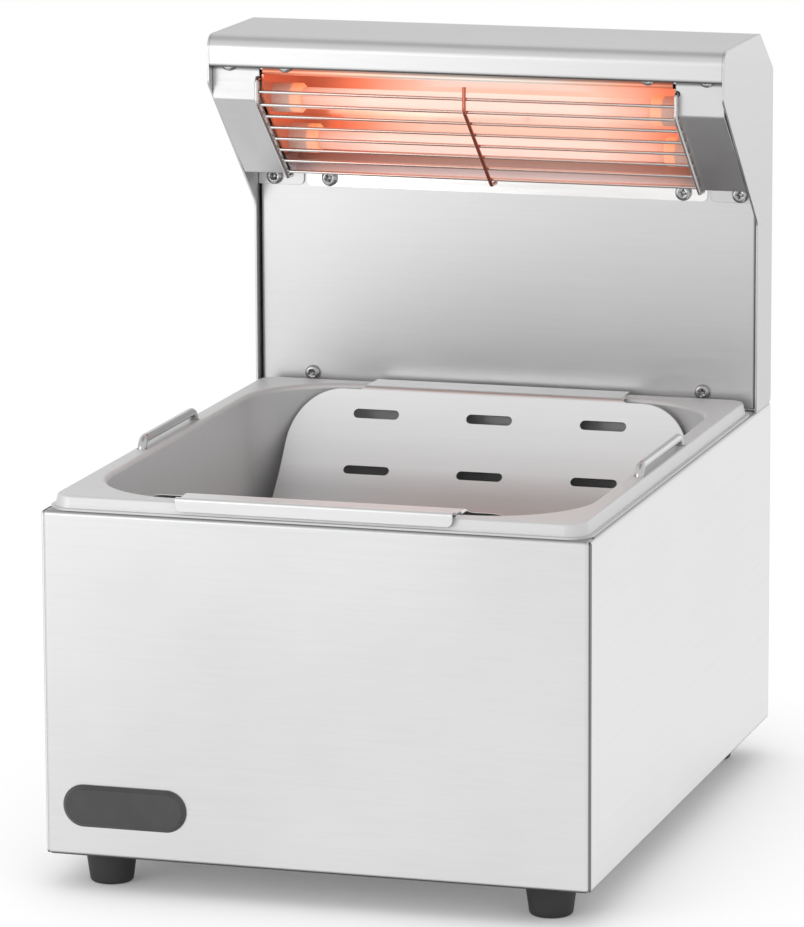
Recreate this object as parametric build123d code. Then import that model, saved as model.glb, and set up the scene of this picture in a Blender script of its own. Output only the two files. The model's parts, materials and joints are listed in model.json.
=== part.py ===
from build123d import *
import math
import os

# Fry warmer for a countertop: a sheet-steel casing holds a half-size food pan with a perforated
# cradle, and a rear column carries a hood with two infrared quartz tubes over the pan.
# Millimetres, +Z up, front towards -Y. The origin is on the table under the middle of the part.

# Pan: half-size gastronorm, longer side from front to back
RIM_WIDTH = 265.0
RIM_LENGTH = 325.0
RIM_CORNER = 12.0
RIM_HEIGHT = 6.8
RIM_LIP = 1.6
RIM_LIP_THICKNESS = 1.0
RIM_SKIRT_LEAN = 14.0
RIM_EDGE_RADIUS = 1.4
RIM_BREADTH = 12.7
PAN_DEPTH = 100.0
PAN_SHEET = 0.8
PAN_CORNER = 48.0
PAN_DRAFT = 3.0
PAN_FLOOR_RADIUS = 16.0
PAN_ROLL_RADIUS = 2.6

# Pan handles: wire bows that slide up through the rim
HANDLE_WIRE = 4.5
HANDLE_SPAN = 79.0
HANDLE_FORWARD = 3.5
HANDLE_INSET = 7.0
HANDLE_BEND = 5.6
HANDLE_REST_HEIGHT = 4.4
HANDLE_TRAVEL = 22.0
HANDLE_STOP_DIAMETER = 5.6
HANDLE_STOP_THICKNESS = 2.0
HANDLE_HOLE_CLEARANCE = 0.3
HANDLE_SIDE_CLEARANCE = 0.2

# Cradle insert: one curved sheet hung from the front and rear rims
INSERT_SHEET = 1.0
INSERT_SIDE_GAP = 13.4
INSERT_END_GAP = 7.8
INSERT_FLOOR_GAP = 8.0
INSERT_SHOULDER = 27.0
INSERT_TAB_LEDGE = 11.9
INSERT_TAB_NOTCH = 4.0
INSERT_BEND = 4.0
INSERT_TAB_SETBACK = 1.4
GRIP_RISE = 1.7
GRIP_DROP = 6.8
GRIP_CLEARANCE = 0.5
GRIP_FLAT = 6.0
GRIP_CORNER = 3.0
SLOT_LENGTH = 24.3
SLOT_WIDTH = 5.0
SLOT_COLUMN_PITCH = 60.3
SLOT_ROW_PITCH = 32.0
SLOT_FIRST_ROW = 14.4

# Casing
SHEET = 1.0
BEND = 2.0
RIM_SIDE_MARGIN = 1.5
RIM_FRONT_MARGIN = 1.2
UNDER_PAN_ROOM = 73.8
RETURN_WIDTH = 10.0
REAR_LEDGE = 12.0
PANEL_FRONT_STEP = 1.6
RETURN_GAP = 0.5
SEAM = 0.2
DECK_FLANGE = 17.0
DECK_UPSTAND = 19.0
DECK_REACH = 7.2

# Column and hood
PANEL_GAP = 3.8
PANEL_SETBACK = 5.0
PANEL_SIDE_GAP = 0.7
PANEL_LIFT = 1.3
PANEL_RETURN = 12.0
PANEL_TOP_RISE = 27.0
COLUMN_ROOM = 26.0
HOOD_HEIGHT = 96.0
HOOD_OVERHANG = 74.0
HOOD_NOSE_RADIUS = 7.0
LIP_DROP = 16.0
LIP_RETURN = 2.2
LIP_FOLD_RADIUS = 1.2
CHEEK_NOSE = 25.0
COLUMN_CLEAR = 98.0
CHEEK_CORNER = 4.0
CHAMFER_DEPTH = 29.0
CHAMFER_DROP = 21.0
HOOD_TAIL = 15.0
CHEEK_RETURN = 10.0

# Heater bay
LIP_CLEARANCE = 5.6
BAY_BEND_DROP = 33.5
BAY_EDGE_REACH = 23.0
BAY_EDGE_RISE = 18.5
BAY_FLANGE = 9.4
BAY_TOP_GAP = 5.0
BAY_FOLD = 1.6
BAY_INNER_FOLD = 0.6
END_COVER_WIDTH = 24.8
COVER_CORNER = 3.0
COVER_GAP = 0.6
REFLECTOR_SHEET = 0.8
REFLECTOR_FLANGE = 15.0
REFLECTOR_SETBACK = 5.0
REFLECTOR_SLOPE_RUN = 20.0
REFLECTOR_SLOPE_DROP = 18.0
REFLECTOR_FOOT_RISE = 16.5
REFLECTOR_FOLD_GAP = 1.0
RAIL_LEG = 16.5
RAIL_FOOT = 13.0
TUBE_DIAMETER = 11.0
TUBE_WALL = 1.0
TUBE_DEPTH = 14.0
TUBE_FIRST = 16.5
TUBE_PITCH = 36.8
COIL_CLEARANCE = 0.2
COIL_WIRE = 1.0
CAP_DIAMETER = 15.0
CAP_LENGTH = 15.4
CAP_SOCKET = 8.0
CAP_CHAMFER = 1.0
CAP_FIT = 0.05
CAP_NECK_DIAMETER = 10.0
CAP_NECK_LENGTH = 10.6
POST_DIAMETER = 4.0
POST_LENGTH = 8.0
GUARD_BAR = 1.7
GUARD_FRAME = 2.0
GUARD_GAP = 0.3
GUARD_WELD = 0.4
GUARD_BARS_ON_SLOPE = 7
GUARD_UPRIGHT = 11.3
GUARD_FIRST_BAR = 5.5
GUARD_KNEE_BAR = 1.8
GUARD_LAST_BAR = 4.0
GUARD_SIDE_INSET = 0.7
GUARD_BEND = 4.0
GUARD_HOOK = 8.0
GUARD_HOOK_BEND = 2.0
GUARD_HOLE_CLEARANCE = 0.5
GUARD_TOP_REACH = 6.0

# Fasteners
BAY_SCREW_HEAD = 8.6
BAY_SCREW_SHANK = 4.0
BAY_SCREW_LENGTH = 7.0
SMALL_SCREW_HEAD = 8.0
SMALL_SCREW_SHANK = 3.6
SMALL_SCREW_LENGTH = 6.0
HEAD_RATIO = 0.29
HEAD_ROUND = 0.7
SCREW_HOLE_CLEARANCE = 0.15
OUTER_SCREW_INSET = 9.0
INNER_SCREW_INSET = 12.4
COLUMN_SCREW_INSET = 28.6
COLUMN_SCREW_RISE = 8.6
UPPER_SCREW_RISE = 1.8
REAR_SCREW_INSET = 5.2

# Feet
FOOT_HEIGHT = 17.0
FOOT_TOP_DIAMETER = 25.4
FOOT_LOW_DIAMETER = 20.5
FOOT_EDGE_RADIUS = 2.0
FOOT_SIDE_GAP = 2.3
FOOT_END_GAP = 0.3
FOOT_POCKET_DIAMETER = 10.0
FOOT_POCKET_DEPTH = 9.0
FOOT_NUT_ACROSS = 7.0
FOOT_NUT_HEIGHT = 3.2

# Badge plate
BADGE_LENGTH = 61.5
BADGE_HEIGHT = 20.5
BADGE_THICKNESS = 2.4
BADGE_BEVEL = 1.8
BADGE_SIDE = 9.4
BADGE_LIFT = 25.0

# Electrics
GLAND_THREAD = 16.0
GLAND_BORE = 8.4
GLAND_HEX = 22.0
GLAND_HEX_THICKNESS = 5.0
GLAND_DOME = 18.0
GLAND_DOME_LENGTH = 9.0
GLAND_TAIL = 9.0
GLAND_NUT_THICKNESS = 4.0
GLAND_SIDE = 49.0
GLAND_LIFT = 36.0
SWITCH_SIDE = 49.0
SWITCH_LIFT = 50.0
SWITCH_FRAME_WIDTH = 21.0
SWITCH_FRAME_HEIGHT = 30.0
SWITCH_FRAME_THICKNESS = 2.0
SWITCH_BODY_WIDTH = 18.0
SWITCH_BODY_HEIGHT = 26.0
SWITCH_BODY_DEPTH = 22.0
SWITCH_POCKET_DEPTH = 9.0
ROCKER_WIDTH = 13.0
ROCKER_HEIGHT = 21.2
ROCKER_GAP = 0.5
ROCKER_DEPTH = 5.0
ROCKER_TIP = 3.4
ROCKER_WAIST = 1.6
ROCKER_TAPER = 0.75
ROCKER_TILT = 10.0
ROCKER_PIN = 3.0
ROCKER_PIN_FIT = 0.05
ROCKER_PIN_LENGTH = 1.8
TERMINAL_REACH = 35.0
TERMINAL_PITCH = 11.0
TERMINAL_DEPTH = 17.0
TERMINAL_HEIGHT = 18.0
TERMINAL_WELL = 4.0
TERMINAL_CHAMFER = 2.0
EARTH_REACH = 40.0
EARTH_STUD = 4.0
EARTH_STUD_LENGTH = 10.0
EARTH_NUT = 7.0
EARTH_NUT_THICKNESS = 3.2
WIRE = 2.6
WIRE_BEND = 9.0
WIRE_BEHIND_PANEL = 9.0
WIRE_END_GAP = 0.1
VENT_COUNT = 11
VENT_PITCH = 16.0
VENT_LENGTH = 26.0
VENT_WIDTH = 4.0
VENT_DROP = 24.0

# Planes and edges that follow from the sizes above
GLAND_REACH = GLAND_HEX_THICKNESS + GLAND_DOME_LENGTH
CASING_WIDTH = RIM_WIDTH + 2 * RIM_SIDE_MARGIN
CASING_DEPTH = RIM_FRONT_MARGIN + RIM_LENGTH + PANEL_GAP + COLUMN_ROOM
CASING_HEIGHT = PAN_DEPTH - RIM_HEIGHT + UNDER_PAN_ROOM
FOOT_SIDE_INSET = RETURN_WIDTH + FOOT_TOP_DIAMETER / 2 + FOOT_SIDE_GAP
FOOT_END_INSET = RETURN_WIDTH + FOOT_TOP_DIAMETER / 2 + FOOT_END_GAP
FRONT = -(CASING_DEPTH + GLAND_REACH - BADGE_THICKNESS) / 2
BACK = FRONT + CASING_DEPTH
FLOOR = FOOT_HEIGHT
TOP = FLOOR + CASING_HEIGHT
INNER_HALF = CASING_WIDTH / 2 - SHEET
SIDE_LEDGE = RIM_SIDE_MARGIN + HANDLE_INSET - HANDLE_STOP_DIAMETER / 2 - HANDLE_SIDE_CLEARANCE
INNER_FLOOR = FLOOR + 2 * SHEET
RIM_TOP = TOP + RIM_HEIGHT
PAN_Y = FRONT + RIM_FRONT_MARGIN + RIM_LENGTH / 2
RIM_REAR = PAN_Y + RIM_LENGTH / 2
OPENING_HALF_WIDTH = RIM_WIDTH / 2 - RIM_BREADTH
OPENING_HALF_LENGTH = RIM_LENGTH / 2 - RIM_BREADTH
PANEL_Y = RIM_REAR + PANEL_GAP
CHEEK_FRONT = PANEL_Y - PANEL_SETBACK
HOOD_TOP = TOP + COLUMN_CLEAR + HOOD_HEIGHT
LIP_FRONT = CHEEK_FRONT - HOOD_OVERHANG
LIP_LOW = HOOD_TOP - LIP_DROP
DECK_FRONT = RIM_REAR - DECK_REACH
DECK_BACK = PANEL_Y + 2 * SHEET
COVER_REAR_Z = HOOD_TOP - CHAMFER_DROP - HOOD_TAIL
BAY_FRONT = LIP_FRONT + LIP_CLEARANCE
BAY_BEND_Z = HOOD_TOP - BAY_BEND_DROP
BAY_FLANGE_Y = PANEL_Y - SHEET
BAY_EDGE_Y = BAY_FLANGE_Y - BAY_EDGE_REACH
BAY_EDGE_Z = TOP + COLUMN_CLEAR + BAY_EDGE_RISE
BAY_TOP_Z = HOOD_TOP - BAY_TOP_GAP
COVER_INNER = INNER_HALF - END_COVER_WIDTH
REFLECTOR_HALF = COVER_INNER - COVER_GAP - SHEET
LOWER_SCREW_Z = BAY_EDGE_Z - BAY_INNER_FOLD - BAY_SCREW_HEAD / 2 - WIRE_END_GAP
UPPER_SCREW_Z = LIP_LOW + UPPER_SCREW_RISE
OUTER_SCREW_X = INNER_HALF - OUTER_SCREW_INSET
INNER_SCREW_X = REFLECTOR_HALF - INNER_SCREW_INSET
COLUMN_SCREW_X = INNER_HALF - COLUMN_SCREW_INSET
COLUMN_SCREW_Z = TOP + COLUMN_SCREW_RISE
GLAND_X = GLAND_SIDE - CASING_WIDTH / 2
SWITCH_X = CASING_WIDTH / 2 - SWITCH_SIDE
TERMINAL_X = GLAND_X + TERMINAL_REACH
EARTH_X = TERMINAL_X + EARTH_REACH
WIRE_Y = PANEL_Y + WIRE_BEHIND_PANEL


def extrude_x(face, start, end):
    """Section drawn in Y and Z, carried from X start to X end."""
    return extrude(Pos(start, 0, 0) * (Plane.YZ * face), amount=end - start)


def extrude_y(face, start, end):
    """Section drawn in X and Z, carried from Y start to Y end."""
    return extrude(Pos(0, end, 0) * (Plane.XZ * face), amount=end - start)


def extrude_z(face, start, end):
    """Section drawn in X and Y, carried from Z start to Z end."""
    return extrude(Pos(0, 0, start) * face, amount=end - start)


def block(low, high):
    """Box between two corners."""
    size = [abs(b - a) for a, b in zip(low, high)]
    middle = [(a + b) / 2 for a, b in zip(low, high)]
    return Pos(*middle) * Box(*size)


def rod(start, end, diameter):
    """Round bar between two points."""
    path = Line(start, end)
    return sweep(Plane(origin=path @ 0, z_dir=path % 0) * Circle(diameter / 2), path=path)


def bent_rod(points, bend, diameter):
    """Round bar along straight runs with rounded corners."""
    path = FilletPolyline(*points, radius=bend)
    return sweep(Plane(origin=path @ 0, z_dir=path % 0) * Circle(diameter / 2), path=path)


def shifted(points, distance):
    """Open polyline moved sideways: to the left of its direction where the distance is positive."""
    normals = []
    for (ax, ay), (bx, by) in zip(points, points[1:]):
        length = math.hypot(bx - ax, by - ay)
        normals.append((-(by - ay) / length, (bx - ax) / length))
    result = []
    for index, (x, y) in enumerate(points):
        before = normals[max(index - 1, 0)]
        after = normals[min(index, len(normals) - 1)]
        scale = distance / (1 + before[0] * after[0] + before[1] * after[1])
        result.append((x + (before[0] + after[0]) * scale, y + (before[1] + after[1]) * scale))
    return result


def turns_left(points, index):
    """Whether a polyline turns left at one of its inner points."""
    (ax, ay), (bx, by), (cx, cy) = points[index - 1:index + 2]
    return (bx - ax) * (cy - by) - (by - ay) * (cx - bx) > 0


def fold_lines(points, radii, thickness):
    """Both faces of a folded sheet: one follows the points, the other lies a thickness to their left."""
    other = shifted(points, thickness)
    other_radii = []
    for index, radius in enumerate(radii, start=1):
        inner_side = turns_left(points, index) == (thickness > 0)
        other_radii.append(radius - abs(thickness) if inner_side else radius + abs(thickness))
    return FilletPolyline(*points, radius=radii), FilletPolyline(*other, radius=other_radii)


def closed_section(face_lines, back_lines):
    """Section between the two faces of a sheet, each a list of joined lines."""
    start = Line(face_lines[0] @ 0, back_lines[0] @ 0)
    end = Line(face_lines[-1] @ 1, back_lines[-1] @ 1)
    edges = [edge for line in face_lines + back_lines + [start, end] for edge in line.edges()]
    return make_face(edges)


def folded(points, radii, thickness):
    """Section of a folded sheet."""
    face_line, back_line = fold_lines(points, radii, thickness)
    return closed_section([face_line], [back_line])


def tray(width, height, depth):
    """Folded sheet panel with a return on all four sides: its face at Y 0, open towards +Y."""
    outside = Box(width, depth, height, align=(Align.CENTER, Align.MIN, Align.MIN))
    rounded = outside.faces().sort_by(Axis.Y)[0].edges() + outside.edges().filter_by(Axis.Y)
    outside = fillet(rounded, BEND)
    inside = Box(width - 2 * SHEET, depth, height - 2 * SHEET, align=(Align.CENTER, Align.MIN, Align.MIN))
    rounded = inside.faces().sort_by(Axis.Y)[0].edges() + inside.edges().filter_by(Axis.Y)
    inside = fillet(rounded, BEND - SHEET)
    return outside - Pos(0, SHEET, SHEET) * inside


def screw(head, shank, length):
    """Pan-head screw along +Z: its head stands on Z 0 and its shank goes down."""
    height = head * HEAD_RATIO
    cap = Cylinder(head / 2, height, align=(Align.CENTER, Align.CENTER, Align.MIN))
    cap = fillet(cap.edges().sort_by(Axis.Z)[-1], height * HEAD_ROUND)
    return cap + Cylinder(shank / 2, length, align=(Align.CENTER, Align.CENTER, Align.MAX))


def screws(places, direction, head, shank, length):
    """Group of equal screws whose heads point along one direction."""
    one = screw(head, shank, length)
    return Compound([Plane(origin=place, z_dir=direction) * one for place in places])


def holes(places, direction, diameter, depth):
    """Round cutters centred on places, along one direction."""
    cutter = Cylinder(diameter / 2, depth)
    return [Plane(origin=place, z_dir=direction) * cutter for place in places]


def both_sides(x, y, z):
    """A place and its mirror image."""
    return [(-x, y, z), (x, y, z)]


LOWER_OUTER = both_sides(OUTER_SCREW_X, BAY_FLANGE_Y, LOWER_SCREW_Z)
LOWER_INNER = both_sides(INNER_SCREW_X, PANEL_Y - REFLECTOR_SHEET, LOWER_SCREW_Z)
UPPER_OUTER = both_sides(OUTER_SCREW_X, BAY_FRONT, UPPER_SCREW_Z)
UPPER_INNER = both_sides(INNER_SCREW_X, BAY_FRONT, UPPER_SCREW_Z)
COLUMN_SCREWS = both_sides(COLUMN_SCREW_X, PANEL_Y, COLUMN_SCREW_Z)
CHEEK_SCREWS = both_sides(INNER_HALF - CHEEK_RETURN * 0.6, WIRE_Y, TOP + SHEET)
FOOT_YS = [FRONT + FOOT_END_INSET, BACK - FOOT_END_INSET]
FOOT_X = CASING_WIDTH / 2 - FOOT_SIDE_INSET
FOOT_PLACES = [place for y in FOOT_YS for place in both_sides(FOOT_X, y, 0)]
BASE_SCREWS = [
    place
    for y in (FRONT + 0.3 * CASING_DEPTH, FRONT + 0.7 * CASING_DEPTH)
    for place in both_sides(INNER_HALF - RETURN_WIDTH / 2, y, FLOOR)
]
BACK_SCREWS = [
    place
    for part in (0.15, 0.5, 0.85)
    for place in both_sides(INNER_HALF - REAR_SCREW_INSET, BACK, FLOOR + part * CASING_HEIGHT)
]
REAR_SCREW_ZS = [
    TOP + SHEET + 0.1 * (COVER_REAR_Z - TOP),
    TOP + 0.5 * (COVER_REAR_Z - TOP),
    COVER_REAR_Z - 0.1 * (COVER_REAR_Z - TOP),
]
REAR_SCREWS = [
    place for z in REAR_SCREW_ZS for place in both_sides(INNER_HALF - REAR_SCREW_INSET, BACK, z)
]
SMALL_HOLE = SMALL_SCREW_SHANK + 2 * SCREW_HOLE_CLEARANCE
BAY_HOLE = BAY_SCREW_SHANK + 2 * SCREW_HOLE_CLEARANCE


# Casing

def front_panel():
    return Pos(0, FRONT, FLOOR) * tray(2 * INNER_HALF, CASING_HEIGHT, RETURN_WIDTH)


def back_panel():
    """Flat panel between the side panels, with openings for the gland and the switch."""
    gap = RETURN_GAP
    panel = block((-INNER_HALF + SEAM, BACK - SHEET, FLOOR + gap), (INNER_HALF - SEAM, BACK, TOP - gap))
    gland_place = (GLAND_X, BACK, FLOOR + GLAND_LIFT)
    gland_hole = holes([gland_place], (0, 1, 0), GLAND_THREAD + 2 * SEAM, RETURN_WIDTH)
    switch_hole = Pos(SWITCH_X, BACK, FLOOR + SWITCH_LIFT) * Box(
        SWITCH_BODY_WIDTH + 2 * gap, RETURN_WIDTH, SWITCH_BODY_HEIGHT + 2 * gap
    )
    return panel - gland_hole - switch_hole - holes(BACK_SCREWS, (0, 1, 0), SMALL_HOLE, RETURN_WIDTH)


def side_panel():
    """Right-hand side panel: a C-section whose top ledge is cut where the deck takes over."""
    outer = CASING_WIDTH / 2
    outline = [(outer - REAR_LEDGE, TOP), (outer, TOP), (outer, FLOOR), (outer - RETURN_WIDTH, FLOOR)]
    section = folded(outline, [BEND, BEND], -SHEET)
    panel = extrude_y(section, FRONT + PANEL_FRONT_STEP, BACK)
    front_end = FRONT + RETURN_WIDTH + RETURN_GAP
    back_end = BACK - 2 * SHEET
    upper = TOP - CASING_HEIGHT / 2
    trims = [
        block((0, FRONT, FLOOR), (INNER_HALF, front_end, TOP)),
        block((0, back_end, FLOOR), (INNER_HALF, BACK, TOP)),
        block((0, DECK_FRONT - RETURN_GAP, upper), (INNER_HALF, DECK_BACK + RETURN_GAP, TOP)),
        block((0, FRONT, upper), (outer - SIDE_LEDGE, DECK_FRONT, TOP)),
    ]
    rear_flange = block(
        (INNER_HALF - RETURN_WIDTH, back_end, FLOOR + BEND), (INNER_HALF, BACK - SHEET, TOP - BEND)
    )
    panel = panel - trims + rear_flange
    panel -= holes(BACK_SCREWS, (0, 1, 0), SMALL_HOLE, RETURN_WIDTH)
    panel -= holes(CHEEK_SCREWS + BASE_SCREWS, (0, 0, 1), SMALL_HOLE, RETURN_WIDTH)
    return panel


def base_plate():
    gap = RETURN_GAP
    plate = block(
        (-INNER_HALF + BEND + gap, FRONT + BEND + gap, FLOOR + SHEET),
        (INNER_HALF - BEND - gap, BACK - 2 * SHEET - gap, INNER_FLOOR),
    )
    plate = fillet(plate.edges().filter_by(Axis.Z), BEND)
    plate -= holes(BASE_SCREWS + FOOT_PLACES, (0, 0, 1), SMALL_HOLE, 4 * FLOOR)
    return plate - holes([(EARTH_X, WIRE_Y, FLOOR)], (0, 0, 1), EARTH_STUD + SEAM, RETURN_WIDTH)


def rear_deck():
    """Bridge behind the pan: it carries the rear rim and stands up behind the column's panel."""
    outline = [
        (DECK_FRONT, TOP - DECK_FLANGE),
        (DECK_FRONT, TOP),
        (DECK_BACK - SHEET, TOP),
        (DECK_BACK - SHEET, TOP + DECK_UPSTAND),
    ]
    section = folded(outline, [BEND, BEND - SHEET], -SHEET)
    deck = extrude_x(section, -INNER_HALF, INNER_HALF)
    upstand_half = INNER_HALF - BEND - PANEL_LIFT
    ends = [
        block((side * INNER_HALF, PANEL_Y, TOP + SHEET), (side * upstand_half, BACK, HOOD_TOP))
        for side in (-1, 1)
    ]
    return deck - ends - holes(COLUMN_SCREWS, (0, 1, 0), SMALL_HOLE, RETURN_WIDTH)


# Column and hood

def column_front_panel():
    half = INNER_HALF - PANEL_SIDE_GAP
    return_end = PANEL_Y + PANEL_RETURN
    outline = [(-half, return_end), (-half, PANEL_Y), (half, PANEL_Y), (half, return_end)]
    section = folded(outline, [BEND, BEND], SHEET)
    panel = extrude_z(section, TOP + PANEL_LIFT, TOP + COLUMN_CLEAR + PANEL_TOP_RISE)
    panel -= holes(LOWER_OUTER + LOWER_INNER, (0, 1, 0), BAY_HOLE, RETURN_WIDTH)
    return panel - holes(COLUMN_SCREWS, (0, 1, 0), SMALL_HOLE, RETURN_WIDTH)


def hood_outline():
    """Points of the hood's side view, from the lip over the top to the rear cover."""
    return [
        (LIP_FRONT, LIP_LOW),
        (LIP_FRONT, HOOD_TOP),
        (BACK - CHAMFER_DEPTH, HOOD_TOP),
        (BACK, HOOD_TOP - CHAMFER_DROP),
        (BACK, COVER_REAR_Z),
    ]


def cheek():
    """Right-hand cheek: a flat blank with a foot return and a joggled rear flange."""
    outer = CASING_WIDTH / 2
    over_top = hood_outline()
    blank_points = [
        (CHEEK_FRONT, TOP),
        (CHEEK_FRONT, TOP + COLUMN_CLEAR),
        (LIP_FRONT, HOOD_TOP - CHEEK_NOSE),
        over_top[1],
        over_top[2],
        over_top[3],
        (BACK, TOP),
    ]
    radii = [0, CHEEK_CORNER, CHEEK_CORNER, HOOD_NOSE_RADIUS, CHEEK_CORNER, CHEEK_CORNER, CHEEK_CORNER]
    blank = make_face(FilletPolyline(*blank_points, radius=radii, close=True).edges())
    sheet = extrude_x(blank, INNER_HALF, outer)
    inner = INNER_HALF - CHEEK_RETURN
    foot = block((inner, DECK_BACK + SHEET, TOP), (INNER_HALF, BACK - CHEEK_CORNER, TOP + SHEET))
    flange = block(
        (inner, BACK - 2 * SHEET, TOP + CHEEK_CORNER), (INNER_HALF, BACK - SHEET, COVER_REAR_Z)
    )
    result = sheet + foot + flange
    result -= holes(CHEEK_SCREWS, (0, 0, 1), SMALL_HOLE, RETURN_WIDTH)
    return result - holes(REAR_SCREWS, (0, 1, 0), SMALL_HOLE, RETURN_WIDTH)


def hood_top():
    outline = [(LIP_FRONT + LIP_RETURN, LIP_LOW)] + hood_outline()
    radii = [LIP_FOLD_RADIUS, HOOD_NOSE_RADIUS, CHEEK_CORNER, CHEEK_CORNER]
    return extrude_x(folded(outline, radii, -SHEET), -INNER_HALF, INNER_HALF)


def rear_cover():
    """Flat cover of the column's back with a row of upright vents under the hood."""
    plate = block(
        (-INNER_HALF + SEAM, BACK - SHEET, TOP + PANEL_LIFT),
        (INNER_HALF - SEAM, BACK, COVER_REAR_Z - RETURN_GAP),
    )
    upright = Rot(0, 0, 90) * SlotOverall(VENT_LENGTH, VENT_WIDTH)
    vents = []
    for index in range(VENT_COUNT):
        x = (index - (VENT_COUNT - 1) / 2) * VENT_PITCH
        slot = Pos(x, COVER_REAR_Z - VENT_DROP) * upright
        vents.append(extrude_y(slot, BACK - RETURN_WIDTH, BACK))
    return plate - vents - holes(REAR_SCREWS, (0, 1, 0), SMALL_HOLE, RETURN_WIDTH)


# Heater bay

def cover_line():
    """Lower face of the heater bay: down behind the lip, along the slope, back and down the column."""
    return [
        (BAY_FRONT, BAY_TOP_Z),
        (BAY_FRONT, BAY_BEND_Z),
        (BAY_EDGE_Y, BAY_EDGE_Z),
        (BAY_FLANGE_Y, BAY_EDGE_Z),
        (BAY_FLANGE_Y, BAY_EDGE_Z - BAY_FLANGE),
    ]


GUARD_SIDE = COVER_INNER + GUARD_SIDE_INSET
GUARD_TOP = BAY_BEND_Z + GUARD_UPRIGHT


def end_cover():
    """Right-hand end cover of the heater bay."""
    section = folded(cover_line(), [BEND, BAY_FOLD, BAY_INNER_FOLD], SHEET)
    cover = extrude_x(section, COVER_INNER, INNER_HALF - SEAM)
    inner_edges = cover.edges().filter_by(Axis.Y).group_by(Axis.Z)[0].sort_by(Axis.X)[0]
    cover = fillet(inner_edges, COVER_CORNER)
    cover -= holes(LOWER_OUTER + UPPER_OUTER, (0, 1, 0), BAY_HOLE, RETURN_WIDTH)
    eye = GUARD_FRAME + 2 * GUARD_HOLE_CLEARANCE
    return cover - holes([(GUARD_SIDE, BAY_FRONT, GUARD_TOP)], (0, 1, 0), eye, RETURN_WIDTH)


def reflector_line():
    """Polished trough over the tubes, from its upper flange to its lower flange."""
    roof_z = BAY_TOP_Z - REFLECTOR_FLANGE
    wall_y = BAY_FLANGE_Y - REFLECTOR_SETBACK
    flange_y = PANEL_Y - REFLECTOR_SHEET
    return [
        (BAY_FRONT, BAY_TOP_Z),
        (BAY_FRONT, roof_z),
        (wall_y - REFLECTOR_SLOPE_RUN, roof_z),
        (wall_y, roof_z - REFLECTOR_SLOPE_DROP),
        (wall_y, BAY_EDGE_Z + REFLECTOR_FOOT_RISE),
        (BAY_EDGE_Y + REFLECTOR_FOLD_GAP, BAY_EDGE_Z),
        (flange_y, BAY_EDGE_Z),
        (flange_y, BAY_EDGE_Z - BAY_FLANGE),
    ]


def reflector():
    radii = [BAY_FOLD, CHEEK_CORNER, CHEEK_CORNER, CHEEK_CORNER, REFLECTOR_SHEET + 0.2, BAY_INNER_FOLD]
    section = folded(reflector_line(), radii, REFLECTOR_SHEET)
    sheet = extrude_x(section, -REFLECTOR_HALF, REFLECTOR_HALF)
    sheet = fillet(sheet.edges().filter_by(Axis.Y).group_by(Axis.Z)[0], COVER_CORNER)
    return sheet - holes(LOWER_INNER + UPPER_INNER, (0, 1, 0), BAY_HOLE, RETURN_WIDTH)


def slope_direction():
    """Unit vectors along the heater bay's slope and square to it, into the bay."""
    run = BAY_EDGE_Y - BAY_FRONT
    drop = BAY_BEND_Z - BAY_EDGE_Z
    length = math.hypot(run, drop)
    return (run / length, -drop / length), (drop / length, run / length)


def tube_centers():
    """Y and Z of the upper and lower tube."""
    along, inward = slope_direction()
    result = []
    for distance in (TUBE_FIRST, TUBE_FIRST + TUBE_PITCH):
        y = BAY_FRONT + along[0] * distance + inward[0] * TUBE_DEPTH
        z = BAY_BEND_Z + along[1] * distance + inward[1] * TUBE_DEPTH
        result.append((y, z))
    return result


def end_plate():
    """Right-hand end of the reflector trough, with an eye for the neck of each ceramic cap."""
    trough = reflector_line()
    near = BAY_FRONT + BEND
    outline = [(near, trough[1][1])] + trough[2:6] + [(near, BAY_BEND_Z + BEND)]
    face = make_face(Polyline(*outline, close=True).edges())
    plate = extrude_x(face, REFLECTOR_HALF, REFLECTOR_HALF + SHEET)
    eyes = [(REFLECTOR_HALF, y, z) for y, z in tube_centers()]
    return plate - holes(eyes, (1, 0, 0), CAP_NECK_DIAMETER + 2 * CAP_FIT, RETURN_WIDTH)


CAP_INNER = REFLECTOR_HALF - CAP_LENGTH
TUBE_HALF = CAP_INNER + CAP_SOCKET - CAP_FIT
CAP_OUTER = REFLECTOR_HALF + CAP_NECK_LENGTH


def quartz_tube(center):
    ring = Circle(TUBE_DIAMETER / 2) - Circle(TUBE_DIAMETER / 2 - TUBE_WALL)
    return extrude_x(Pos(*center) * ring, -TUBE_HALF, TUBE_HALF)


def heating_coil(center):
    """Outer and inner shape of the wound resistance wire, which lies in the tube's bore."""
    radius = TUBE_DIAMETER / 2 - TUBE_WALL - COIL_CLEARANCE
    ring = Circle(radius) - Circle(radius - COIL_WIRE)
    return extrude_x(Pos(*center) * ring, -TUBE_HALF, TUBE_HALF)


def ceramic_cap(center):
    """Right-hand end cap: a socket for the tube, and a neck through the end plate."""
    place = Pos(*center)
    body = extrude_x(place * Circle(CAP_DIAMETER / 2), CAP_INNER, REFLECTOR_HALF)
    body = chamfer(body.edges().group_by(Axis.X)[0], CAP_CHAMFER)
    neck = extrude_x(place * Circle(CAP_NECK_DIAMETER / 2), REFLECTOR_HALF, CAP_OUTER)
    socket = extrude_x(place * Circle(TUBE_DIAMETER / 2 + CAP_FIT), CAP_INNER, CAP_INNER + CAP_SOCKET)
    return body + neck - socket


def heater_terminals():
    posts = []
    for y, z in tube_centers():
        for side in (-1, 1):
            start = (side * CAP_OUTER, y, z)
            end = (side * (CAP_OUTER + POST_LENGTH), y, z)
            posts.append(rod(start, end, POST_DIAMETER))
    return Compound(posts)


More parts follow.
